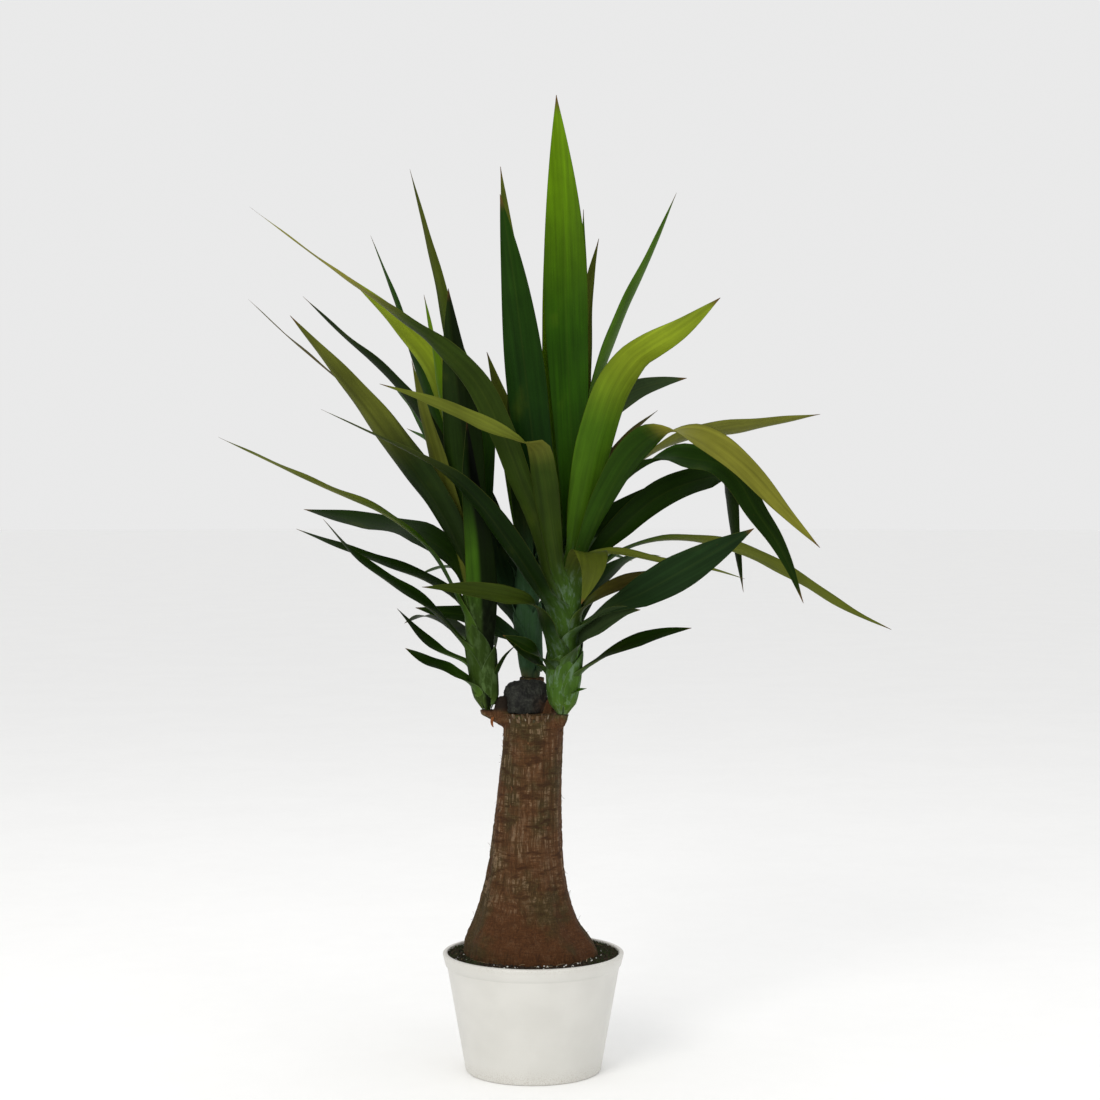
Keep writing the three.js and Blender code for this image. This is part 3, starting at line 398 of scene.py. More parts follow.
# Node trees
class Wire:
    """The output of a node. Sums, mixtures and patterns are made of it with plain signs."""

    def __init__(self, graph: Graph, socket: Socket) -> None:
        """Keeps the graph and the socket."""
        self.graph = graph
        self.socket = socket

    def worked(self, operation: str, first: Value, second: Value) -> Wire:
        """Adds a sum on numbers, or on vectors where either side is one.

        Args:
            operation: Blender's name for the sum.
            first: what stands before the sign.
            second: what stands after it.

        Returns:
            The result.
        """
        vectors = [is_vector(side) for side in (first, second)]
        if not any(vectors):
            return self.graph.node("ShaderNodeMath", {0: first, 1: second}, operation=operation)
        if all(vectors):
            return self.graph.node("ShaderNodeVectorMath", {0: first, 1: second}, operation=operation)
        vector, number = (first, second) if vectors[0] else (second, first)
        return self.graph.node("ShaderNodeVectorMath", {0: vector, 3: number}, operation="SCALE")

    def __add__(self, other: Value) -> Wire:
        """Returns the sum."""
        return self.worked("ADD", self, other)

    def __sub__(self, other: Value) -> Wire:
        """Returns the difference."""
        return self.worked("SUBTRACT", self, other)

    def __rsub__(self, other: Value) -> Wire:
        """Returns the difference from a plain number."""
        return self.worked("SUBTRACT", other, self)

    def __mul__(self, other: Value) -> Wire:
        """Returns the product, or a vector times a number."""
        return self.worked("MULTIPLY", self, other)

    def __truediv__(self, other: Value) -> Wire:
        """Returns the quotient."""
        return self.worked("DIVIDE", self, other)

    def of(self, operation: str) -> Wire:
        """Returns a function of the number, such as its sine."""
        return self.graph.node("ShaderNodeMath", {0: self}, operation=operation)

    def spread(self, low: Value, high: Value, to_low: float = 0.0, to_high: float = 1.0) -> Wire:
        """Returns the number moved softly from one range to another."""
        joined = {0: self, 1: low, 2: high, 3: to_low, 4: to_high}
        return self.graph.node("ShaderNodeMapRange", joined, interpolation_type="SMOOTHSTEP")

    def mix(self, low: Value, high: Value) -> Wire:
        """Lays one colour over another by this share.

        Args:
            low: the colour for a share of 0.
            high: the colour for a share of 1.

        Returns:
            The mixture.
        """
        sides = [side if isinstance(side, Wire) else (*side, 1.0) for side in (low, high)]
        joined = {0: self, 6: sides[0], 7: sides[1]}
        return self.graph.node("ShaderNodeMix", joined, 2, data_type="RGBA", clamp_factor=True)

    def part(self, axis: int) -> Wire:
        """Returns one of the three numbers of a place."""
        return self.graph.node("ShaderNodeSeparateXYZ", {0: self}, axis)

    def noise(self, scale: float | Colour, detail: float = 2, rough: float = 0.5, output: int = 0) -> Wire:
        """Returns a cloudy pattern around 0.5 over this place in millimetres."""
        joined = {"Vector": self * scale, "Scale": 1.0, "Detail": detail, "Roughness": rough}
        return self.graph.node("ShaderNodeTexNoise", joined, output)


Value = Wire | float | tuple


def is_vector(side: Value) -> bool:
    """Says whether a value is a vector or a colour and not a number."""
    return side.socket.type in ("VECTOR", "RGBA") if isinstance(side, Wire) else isinstance(side, tuple)


class Graph:
    """One node tree, with short calls that add nodes to it and join them."""

    def __init__(self, tree: Tree) -> None:
        """Keeps the tree."""
        self.tree = tree

    @staticmethod
    def pick(sockets: bpy.types.bpy_prop_collection, key: str | int) -> Socket:
        """Returns a socket by its number, or the live one of that name."""
        if isinstance(key, int):
            return sockets[key]
        return next(socket for socket in sockets if socket.name == key and socket.enabled)

    def node(self, kind: str, joined: dict[str | int, Value] | None = None, output: str | int = 0,
             **settings: object) -> Wire:
        """Adds one node.

        Args:
            kind: Blender's name for the kind of node.
            joined: a value, or a wire to join, for each input named or numbered.
            output: the name or number of the output that is wanted.
            settings: the node's own properties.

        Returns:
            That output.
        """
        made = self.tree.nodes.new(kind)
        for name, value in settings.items():
            setattr(made, name, value)
        for key, value in (joined or {}).items():
            socket = self.pick(made.inputs, key)
            if isinstance(value, Wire):
                self.tree.links.new(value.socket, socket)
            else:
                socket.default_value = value
        return Wire(self, self.pick(made.outputs, output))

    def painted(self, name: str, output: str = "Fac") -> Wire:
        """Returns an attribute of the surface inside a material."""
        return self.node("ShaderNodeAttribute", output=output, attribute_name=name)

    def place(self) -> Wire:
        """Returns the place on the object in millimetres inside a material."""
        return self.node("ShaderNodeTexCoord", output="Object") * (1 / MM)

    def strip(self) -> Wire:
        """Returns the place on a blade or strip: across it, along it, and which one it is."""
        parts = (self.painted("offset"), self.painted("reach"), self.painted("phase") * PHASE_SPREAD)
        return self.node("ShaderNodeCombineXYZ", dict(enumerate(parts)))


class GeometryGraph(Graph):
    """A geometry tree with named inputs for its sizes."""

    def __init__(self, name: str, numbers: dict[str, float]) -> None:
        """Begins the tree.

        Args:
            name: the tree's name.
            numbers: the name and value of each size that a piece can set.
        """
        super().__init__(bpy.data.node_groups.new(name, "GeometryNodeTree"))
        self.tree.is_modifier = True
        face = self.tree.interface
        face.new_socket("Geometry", in_out="INPUT", socket_type="NodeSocketGeometry")
        for key, value in numbers.items():
            kind = "NodeSocketInt" if isinstance(value, int) else "NodeSocketFloat"
            face.new_socket(key, in_out="INPUT", socket_type=kind).default_value = value
        face.new_socket("Material", in_out="INPUT", socket_type="NodeSocketMaterial")
        face.new_socket("Geometry", in_out="OUTPUT", socket_type="NodeSocketGeometry")
        self.start = self.tree.nodes.new("NodeGroupInput")

    def given(self, name: str) -> Wire:
        """Returns one of the tree's inputs."""
        return Wire(self, self.start.outputs[name])

    def named(self, name: str, kind: str = "FLOAT") -> Wire:
        """Returns an attribute of the geometry."""
        return self.node("GeometryNodeInputNamedAttribute", {"Name": name}, "Attribute", data_type=kind)

    def place(self) -> Wire:
        """Returns the place of a point in millimetres."""
        return self.node("GeometryNodeInputPosition") * (1 / MM)

    def store(self, geometry: Wire, name: str, value: Wire) -> Wire:
        """Returns the geometry with a number kept on its points."""
        joined = {"Geometry": geometry, "Name": name, "Value": value}
        return self.node("GeometryNodeStoreNamedAttribute", joined, data_type="FLOAT", domain="POINT")

    def moved(self, geometry: Wire, key: str, value: Wire) -> Wire:
        """Returns the geometry with its points set to a Position or moved by an Offset."""
        return self.node("GeometryNodeSetPosition", {"Geometry": geometry, key: value})

    def closed(self, geometry: Wire) -> Tree:
        """Ends the tree with smooth faces, real geometry and the finish.

        Args:
            geometry: what the tree has made.

        Returns:
            The tree.
        """
        smooth = self.node("GeometryNodeSetShadeSmooth", {"Geometry": geometry})
        real = self.node("GeometryNodeRealizeInstances", {"Geometry": smooth})
        joined = {"Geometry": real, "Material": self.given("Material")}
        dressed = self.node("GeometryNodeSetMaterial", joined)
        self.tree.links.new(dressed.socket, self.tree.nodes.new("NodeGroupOutput").inputs[0])
        return self.tree


def apply_tree(piece: Piece, tree: Tree, inputs: dict[str, object]) -> None:
    """Runs a geometry tree on a piece and keeps the result as its plain mesh.

    Args:
        piece: the object that the tree starts from.
        tree: the geometry tree.
        inputs: a value for each of the tree's inputs that the piece sets, by name.
    """
    modifier = piece.modifiers.new(tree.name, "NODES")
    modifier.node_group = tree
    for item in tree.interface.items_tree:
        if item.item_type == "SOCKET" and item.in_out == "INPUT" and item.name in inputs:
            modifier[item.identifier] = inputs[item.name]
    settle(piece)


# Meshes and objects
def settle(piece: Piece) -> None:
    """Turns a piece's live modifiers into its own plain mesh.

    Args:
        piece: the piece, which loses its modifiers.
    """
    layer = bpy.context.evaluated_depsgraph_get()
    live = piece.evaluated_get(layer)
    made = bpy.data.meshes.new_from_object(live, preserve_all_data_layers=True, depsgraph=layer)
    made.name = piece.name
    piece.modifiers.clear()
    piece.data = made


def face_outward(piece: Piece) -> None:
    """Turns the faces of each closed body of a piece outward.

    Args:
        piece: the piece.
    """
    work = bmesh.new()
    work.from_mesh(piece.data)
    bmesh.ops.recalc_face_normals(work, faces=work.faces)
    work.to_mesh(piece.data)
    work.free()


def place_object(name: str, data: bpy.types.ID) -> Piece:
    """Makes an object of the scene.

    Args:
        name: its name.
        data: the mesh, light or camera that it shows.

    Returns:
        The new object.
    """
    placed = bpy.data.objects.new(name, data)
    bpy.context.collection.objects.link(placed)
    return placed


def place_mesh(name: str, points: np.ndarray, faces: Faces, edges: Faces | None = None) -> Piece:
    """Makes an object at the origin from points in millimetres.

    Args:
        name: the object's name.
        points: one row for each point.
        faces: the corners of each face.
        edges: the ends of each edge that no face has.

    Returns:
        The new object.
    """
    mesh = bpy.data.meshes.new(name)
    mesh.from_pydata((np.asarray(points) * MM).tolist(), edges or [], faces)
    mesh.update()
    return place_object(name, mesh)


def band_faces(rings: int, sides: int, first: int = 0, closed: bool = False) -> Faces:
    """Lays faces between rings of points that follow each other, low ring first.

    Args:
        rings: how many rings there are.
        sides: how many points each has.
        first: the number of the first point.
        closed: whether the last ring joins the first one.

    Returns:
        The corners of each face.
    """
    faces = []
    for low in range(rings if closed else rings - 1):
        for side in range(sides):
            corners = [(row % rings) * sides + first for row in (low, low + 1)]
            after = (side + 1) % sides
            faces.append((corners[0] + side, corners[0] + after, corners[1] + after, corners[1] + side))
    return faces


def loft(name: str, rings: list[np.ndarray]) -> Piece:
    """Makes a closed body from rings of points.

    Args:
        name: the object's name.
        rings: the rings, low ring first, all with one count of points.

    Returns:
        The new object.
    """
    sides = len(rings[0])
    last = (len(rings) - 1) * sides
    ends = [tuple(range(sides - 1, -1, -1)), tuple(range(last, last + sides))]
    return place_mesh(name, np.concatenate(rings), band_faces(len(rings), sides) + ends)


def join(name: str, pieces: list[Piece]) -> Piece:
    """Puts several bodies into one new object, and removes the old ones.

    Args:
        name: the object's name.
        pieces: the bodies.

    Returns:
        The new object.
    """
    work = bmesh.new()
    for piece in pieces:
        work.from_mesh(piece.data)
    mesh = bpy.data.meshes.new(name)
    work.to_mesh(mesh)
    work.free()
    for piece in pieces:
        bpy.data.objects.remove(piece)
    return place_object(name, mesh)


def knit(piece: Piece, voxel: float, rounds: int) -> None:
    """Knits overlapping bodies into one skin and smooths its joints.

    Args:
        piece: the object that holds the bodies.
        voxel: the size of the skin's faces in millimetres.
        rounds: how often the skin is smoothed.
    """
    skin = piece.modifiers.new("Skin", "REMESH")
    skin.mode = "VOXEL"
    skin.voxel_size = voxel * MM
    soft = piece.modifiers.new("Soft", "SMOOTH")
    soft.factor = 0.5
    soft.iterations = rounds
    settle(piece)


def smooth_faces(piece: Piece) -> None:
    """Shades a piece's faces as one smooth surface."""
    piece.data.polygons.foreach_set("use_smooth", [True] * len(piece.data.polygons))


def dress(piece: Piece, material: Material, node: str) -> Piece:
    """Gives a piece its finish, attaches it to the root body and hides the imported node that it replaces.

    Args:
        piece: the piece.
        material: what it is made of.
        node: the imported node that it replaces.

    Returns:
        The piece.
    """
    piece.data.materials.clear()
    piece.data.materials.append(material)
    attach(piece, "root")
    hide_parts(node)
    return piece


# Geometry trees
def bark_pattern(place: Wire) -> tuple[Wire, Wire]:
    """Draws the bark's threads, used for its relief and its colour alike.

    Args:
        place: a place in millimetres.

    Returns:
        Upright threads and level threads, both around 0.5.
    """
    bent = place + place.noise(0.03) * (6.0, 6.0, 10.0)
    return bent.noise((0.25, 0.25, 0.018), 4, 0.62), bent.noise((0.045, 0.045, 0.14), 4, 0.66)


def bark_height(place: Wire) -> Wire:
    """Draws the bark's relief as a share of its depth.

    Args:
        place: a place in millimetres.

    Returns:
        The height.
    """
    upright, level = bark_pattern(place)
    cracks = level.spread(0.36, 0.45, 0.14, 0.0) * place.part(2).spread(165.0, 250.0)
    return (level - 0.5) * 1.2 + (upright - 0.5) * 1.3 - cracks


def lump_height(place: Wire) -> Wire:
    """Returns the wax's drips, lumps and brush marks as a share of their depth."""
    marks = place.noise((0.42, 0.42, 0.20), 4, 0.65)
    return place.noise((0.09, 0.09, 0.07), 4, 0.6) - 0.5 + (marks - 0.5) * 0.6


def clod_height(place: Wire) -> Wire:
    """Returns the soil's clods as a share of their height."""
    return place.noise(0.16, 4, 0.65) - 0.5


def relief_tree(name: str, height: Callable[[Wire], Wire]) -> Tree:
    """Builds a tree that lifts a surface along its normals by a pattern.

    Args:
        name: the tree's name.
        height: makes the pattern from a place in millimetres.

    Returns:
        The tree, whose input Depth is in millimetres.
    """
    graph = GeometryGraph(name, {"Depth": 1.0})
    lift = graph.node("GeometryNodeInputNormal") * (height(graph.place()) * (graph.given("Depth") * MM))
    return graph.closed(graph.moved(graph.given("Geometry"), "Offset", lift))


def leaf_tree() -> Tree:
    """Builds the tree that sweeps a leaf's channelled section along each midrib.

    Returns:
        The tree. Its section has the given count of points, and its waves the given length.
    """
    graph = GeometryGraph("Leaf Blades", {"Section Points": 20, "Wave Length": WAVE_LENGTH})
    midribs = graph.node("GeometryNodeMeshToCurve", {"Mesh": graph.given("Geometry")})
    count = graph.given("Section Points")
    size = {"Resolution": count, "Radius": MM}
    section = graph.node("GeometryNodeCurvePrimitiveCircle", size, mode="RADIUS")
    section = graph.store(section, "turn", graph.node("GeometryNodeInputIndex") / count)
    swept = {"Curve": midribs, "Profile Curve": section, "Fill Caps": True}
    skin = graph.node("GeometryNodeCurveToMesh", swept)

    angle = graph.named("turn") * math.tau
    across = angle.of("COSINE")
    facing = angle.of("SINE")
    half = graph.named("half")
    bend = graph.named("bend")
    rib, side, upper = (graph.named(key, "FLOAT_VECTOR") for key in ("rib", "side", "upper"))
    swing = across * bend
    sine = swing.of("SINE")
    cosine = swing.of("COSINE")
    radius = half / bend

    beat = graph.named("reach") * math.tau / graph.given("Wave Length")
    beat = beat + graph.named("phase") * math.tau + across.of("SIGN") * 1.1
    ripple = beat.of("SINE") * (across * across)
    arch = ripple * graph.named("wave") + radius * (1 - cosine)
    place = rib + side * (radius * sine) + upper * arch
    place = place + (upper * cosine - side * sine) * (facing * graph.named("thick"))
    skin = graph.store(skin, "offset", across * half / MM)
    skin = graph.store(skin, "margin", (1 - across.of("ABSOLUTE")) * half / MM)
    skin = graph.store(skin, "facing", facing)
    return graph.closed(graph.moved(skin, "Position", place))


class Grain(Enum):
    """The form of a loose bit: its node, its sizes for a height of 1, and its least and greatest turns."""

    LUMP = ("GeometryNodeMeshIcoSphere", {"Radius": 0.5, "Subdivisions": 2}, (0.0, 0.0, 0.0),
            (math.tau, math.tau, math.tau))
    BLADE = ("GeometryNodeMeshCone", {"Vertices": 4, "Side Segments": 3, "Radius Top": 0.02,
             "Radius Bottom": 0.1, "Depth": 1.0}, (-0.6, -0.6, 0.0), (0.6, 0.6, math.tau))


def grain_tree(name: str, grain: Grain) -> Tree:
    """Builds a tree that strews grains, or stands small blades, over a patch of ground.

    Args:
        name: the tree's name.
        grain: the form of the grains.

    Returns:
        The tree. Sizes are millimetres, and Density is grains on a square metre.
    """
    numbers = {"Density": 1000.0, "Least Size": 1.0, "Most Size": 2.0, "Ruggedness": 0.3, "Seed": 1}
    graph = GeometryGraph(name, numbers)
    seed = graph.given("Seed")
    thick = graph.given("Density") * graph.named("growth")
    strewn = {"Mesh": graph.given("Geometry"), "Density": thick, "Seed": seed}
    kind, form, low, high = grain.value
    least, most = (graph.given(key) * MM for key in ("Least Size", "Most Size"))
    turned = {"Min": low, "Max": high, "Seed": seed + 7.0}
    sized = {"Min": least, "Max": most, "Seed": seed + 13.0}
    stood = {
        "Points": graph.node("GeometryNodeDistributePointsOnFaces", strewn),
        "Instance": graph.node(kind, form),
        "Rotation": graph.node("FunctionNodeRandomValue", turned, "Value", data_type="FLOAT_VECTOR"),
        "Scale": graph.node("FunctionNodeRandomValue", sized, "Value", data_type="FLOAT"),
    }
    grains = graph.node("GeometryNodeInstanceOnPoints", stood)
    grains = graph.node("GeometryNodeRealizeInstances", {"Geometry": grains})
    shift = graph.place().noise(0.5, output=1) - (0.5, 0.5, 0.5)
    return graph.closed(graph.moved(grains, "Offset", shift * (graph.given("Ruggedness") * most)))


# Finishes
class Look(NamedTuple):
    """What a finish joins to its surface. The relief's depth is in millimetres."""

    colour: Wire
    rough: Wire
    relief: Wire
    depth: float
    shine: float


@dataclass(frozen=True)
class Finish:
    """What every finish has: its name and its roughness."""

    name: str
    roughness: float

    def look(self, graph: Graph) -> Look:
        """Draws the finish's own pattern."""
        raise NotImplementedError

    def material(self) -> Material:
        """Makes the material from the finish's pattern.

        Returns:
            The material.
        """
        material = bpy.data.materials.new(self.name)
        material.use_nodes = True
        graph = Graph(material.node_tree)
        surface = material.node_tree.nodes["Principled BSDF"]
        look = self.look(graph)
        form = {"Height": look.relief, "Strength": 1.0, "Distance": look.depth * MM}
        bump = graph.node("ShaderNodeBump", form)
        for key, wire in (("Base Color", look.colour), ("Roughness", look.rough), ("Normal", bump)):
            graph.tree.links.new(wire.socket, surface.inputs[key])
        surface.inputs["Specular IOR Level"].default_value = look.shine
        return material


@dataclass(frozen=True)
class LeafFinish(Finish):
    """Leaf skin with fine lengthwise veins, a thin pale margin, a dry tip and a clasping foot with bloom.

    A foot is coloured between sheath and deep, and turns to the colour foot where the stem begins. A
    leaf's right half can be painted darker, as painted shade.
    """

    sheath: Colour
    deep: Colour
    foot: Colour
    bloom: Colour
    bloom_share: float = 0.5
    margin: Colour = (0.110, 0.125, 0.020)
    foot_margin: Colour = (0.100, 0.155, 0.066)
    dry: Colour = (0.090, 0.048, 0.014)
    sunned: Colour = (0.15, 0.16, 0.012)
    vein_depth: float = 0.14
    gloss: float = 0.04

    def look(self, graph: Graph) -> Look:
        """Draws veins, streaks and clouds along the blade, then its foot, margin and tip.

        Args:
            graph: the material's tree.

        Returns:
            The look.
        """
        strip = graph.strip()
        veins = strip.noise((1.25, 0.012, 1.0), 2, 0.6)
        streaks = strip.noise((0.20, 0.006, 1.0), 3, 0.55)
        clouds = strip.noise((0.03, 0.018, 1.0), 3)
        offset = graph.painted("offset")
        top = graph.painted("facing").spread(-0.15, 0.15)
        shade = (veins * 0.36 + 0.82) * (streaks * 1.1 + 0.45) * (clouds * 0.9 + 0.55)
        skin = top.mix(graph.painted("under", "Color"), graph.painted("tone", "Color")) * shade
        skin = offset.of("ABSOLUTE").spread(0.1, 1.6, 0.04, 0.0).mix(skin, self.margin)
        skin = clouds.spread(0.58, 0.85, 0.0, 0.12).mix(skin, self.sunned)
        spots = strip.noise((0.55, 0.20, 1.0)).spread(0.74, 0.80, 0.0, 0.5)
        skin = spots.mix(skin, self.dry)

        clasp = graph.painted("sheath")
        dusted = strip.noise((0.16, 0.055, 1.0), 4, 0.65).spread(0.47, 0.66, 0.0, self.bloom_share)
        foot = dusted.mix(graph.painted("clasp", "Color") * shade, self.bloom)
        skin = clasp.mix(skin, foot)
        rim = graph.painted("margin").spread(0.10, clasp * 0.9 + 0.6, 0.45, 0.0)
        skin = rim.mix(skin, clasp.mix(self.margin, self.foot_margin))
        skin = graph.painted("along").spread(0.955, 0.995).mix(skin, self.dry)
        # painted shade: the side right of the midrib is darkened by the dusk share
        skin = skin * (1 - graph.painted("dusk") * offset.spread(-3.5, 1.5))
        rough = streaks * 0.22 + (self.roughness - 0.11) + clasp * 0.15 + spots * 0.2
        return Look(skin, rough, streaks * 1.2 + veins, self.vein_depth, self.gloss)


@dataclass(frozen=True)
class StripFinish(Finish):
    """Dry peeling strips and fibres, in the colour that each strip carries."""

    def look(self, graph: Graph) -> Look:
        """Draws threads and blots along the strip.

        Args:
            graph: the material's tree.

        Returns:
            The look.
        """
        strip = graph.strip()
        threads = strip.noise((2.4, 0.12, 1.0), 3, 0.6)
        blots = strip.noise((0.5, 0.4, 1.0), 3, 0.6)
        skin = graph.painted("tone", "Color") * ((threads * 1.1 + 0.45) * (blots + 0.5))
        return Look(skin, blots * 0.2 + (self.roughness - 0.1), threads, 0.25, 0.2)


@dataclass(frozen=True)
class BarkFinish(Finish):
    """Brown bark like coarse sacking: pale and dark threads that cross, smoother and redder at the flare.

    The bark changes between two heights, is stained green just below the rim, and has painted shade on
    the shoulder that stands above the rim left of the wax, where it is painted nearly black.
    """

    red: Colour = (0.070, 0.028, 0.010)
    brown: Colour = (0.084, 0.038, 0.015)
    olive: Colour = (0.044, 0.034, 0.012)
    pale: Colour = (0.235, 0.160, 0.095)
    # gap and line darken the low furrows and cracks of the relief: partly the bark's own colour, partly
    # painted shade
    gap: Colour = (0.022, 0.010, 0.005)
    line: Colour = (0.034, 0.014, 0.006)
    # painted shade on the shoulder left of the wax
    shoulder_shade: Colour = (0.014, 0.010, 0.007)
    stain: Colour = (0.050, 0.060, 0.020)
    change: Range = (160.0, 225.0)
    rim: Range = (390.0, 407.0)
    shoulder: Range = (407.0, 415.0)
    shoulder_side: Range = (-16.0, -8.0)

    def look(self, graph: Graph) -> Look:
        """Draws the broad colours, the pale dashes where threads cross, then gaps and lines that are partly
        painted shade in the low furrows, the stains, and the painted shade on the shoulder beside the wax.

        Args:
            graph: the material's tree.

        Returns:
            The look.
        """
        place = graph.place()
        upright, level = bark_pattern(place)
        high = place.part(2)
        upward = high.spread(*self.change)
        threads = place.noise((1.1, 1.1, 0.06), 3, 0.65)
        weft = place.noise((0.07, 0.07, 1.1), 3, 0.65)
        crumbs = place.noise((0.5, 0.5, 0.4), 4, 0.65)
        broad = place.noise((0.024, 0.024, 0.017), 3)
        rows = place.noise((0.04, 0.04, 0.07), 3)

        skin = upward.mix(self.red, self.brown)
        skin = broad.spread(0.46, 0.62, 0.0, 0.75).mix(skin, self.olive)
        skin = rows.spread(0.36, 0.46, 0.6, 0.0).mix(skin, self.red)
        column = (threads - 0.5) * 0.35 + upright
        dash = ((weft - 0.5) * 0.3 + level).spread(0.44, 0.55)
        lit = column.spread(0.46, 0.60, 0.0, 0.60) * dash
        faint = rows.spread(0.40, 0.62, 0.15, 1.0) * upward * 0.85 + 0.12
        skin = (lit * faint).mix(skin, self.pale)
        skin = skin * ((threads * 1.5 + 0.25) * (weft * 1.1 + 0.45) * (crumbs * 0.9 + 0.55))
        # partly painted shade: darker in the low furrows between upright threads and in the low cracks of
        # the level threads
        skin = upright.spread(0.30, 0.47, 0.42, 0.0).mix(skin, self.gap)
        skin = (level.spread(0.37, 0.46, 0.70, 0.0) * upward).mix(skin, self.line)
        damp = high.spread(*self.rim) * rows.spread(0.45, 0.6, 0.0, 0.6)
        skin = damp.mix(skin, self.stain)
        # painted shade: darkens the shoulder above the rim left of the wax
        shoulder_shade_share = high.spread(*self.shoulder, 0.0, 0.97) * place.part(0).spread(*self.shoulder_side, 1.0, 0.0)
        skin = shoulder_shade_share.mix(skin, self.shoulder_shade)
        relief = crumbs * 0.7 + (threads * 1.2 + weft * 0.7)
        return Look(skin, crumbs * 0.2 + (self.roughness - 0.1), relief, 0.9, 0.12)


@dataclass(frozen=True)
class MottledFinish(Finish):
    """A rough mixed surface of two colours, with a third where it is worn or dusty."""

    base: Colour
    other: Colour
    worn: Colour
    grain: float
    depth: float
    worn_share: float = 0.3
    shine: float = 0.3
    contrast: float = 0.6

    def look(self, graph: Graph) -> Look:
        """Draws coarse and fine mottling.

        Args:
            graph: the material's tree.

        Returns:
            The look.
        """
        place = graph.place()
        coarse = place.noise(self.grain, 4, 0.6)
        fine = place.noise(self.grain * 6, 3, 0.6)
        skin = coarse.spread(0.35, 0.65).mix(self.base, self.other)
        skin = (fine.spread(0.55, 0.72) * self.worn_share).mix(skin, self.worn)
        skin = skin * (fine * self.contrast + (1 - self.contrast / 2))
        return Look(skin, coarse * 0.3 + (self.roughness - 0.15), fine + coarse, self.depth, self.shine)


@dataclass(frozen=True)
class WaxFinish(Finish):
    """Dull black grafting wax, brushed and fibrous, with bark brown showing at its low right side."""

    base: Colour = (0.007, 0.007, 0.006)
    other: Colour = (0.034, 0.036, 0.028)
    worn: Colour = (0.095, 0.092, 0.075)
    brown: Colour = (0.055, 0.024, 0.010)
    bare_side: Range = (-4.0, 12.0)
    bare_height: Range = (418.0, 432.0)

    def look(self, graph: Graph) -> Look:
        """Draws lumps, brush marks and grit, then the bare brown side.

        Args:
            graph: the material's tree.

        Returns:
            The look.
        """
        place = graph.place()
        lumps = place.noise((0.12, 0.12, 0.10), 4, 0.6)
        brushed = place.noise((0.22, 0.22, 0.75), 4, 0.65)
        grit = place.noise(1.3, 3, 0.65)
        skin = lumps.spread(0.35, 0.65).mix(self.base, self.other) * (brushed * 2.6 - 0.3)
        skin = grit.spread(0.60, 0.72, 0.0, 0.45).mix(skin, self.worn)
        bared = place.part(0).spread(*self.bare_side) * place.part(2).spread(*self.bare_height, 1.0, 0.0)
        skin = (bared * lumps.spread(0.38, 0.55, 0.2, 0.85)).mix(skin, self.brown)
        return Look(skin, grit * 0.3 + (self.roughness - 0.15), brushed * 1.2 + grit, 1.3, 0.3)


@dataclass(frozen=True)
class PotFinish(Finish):
    """Off-white moulded plastic with a satin skin, faint flow marks and a little soil dust."""

    base: Colour = (0.66, 0.65, 0.61)
    shaded: Colour = (0.61, 0.60, 0.56)
    dust: Colour = (0.30, 0.24, 0.17)

    def look(self, graph: Graph) -> Look:
        """Draws faint clouds and flow marks, and dust at the foot and the rim.

        Args:
            graph: the material's tree.

        Returns:
            The look.
        """
        place = graph.place()
        high = place.part(2)
        cloud = place.noise(0.02, 3)
        flow = place.noise((0.012, 0.012, 0.30))
        speck = place.noise(0.9, 3, 0.7)
        skin = cloud.spread(0.3, 0.7, 0.0, 0.8).mix(self.base, self.shaded)
        ends = high.spread(0.0, 22.0, 0.5, 0.0) + high.spread(124.0, 135.0, 0.0, 0.35)
        dirty = ends * speck.spread(0.48, 0.66)
        skin = dirty.mix(skin, self.dust)
        skin = speck.spread(0.72, 0.76, 0.0, 0.5).mix(skin, self.dust)
        rough = cloud * 0.16 + (self.roughness - 0.08) + dirty * 0.35
        return Look(skin, rough, flow * 0.8 + place.noise(3.0, 1) * 0.35, 0.12, 0.5)


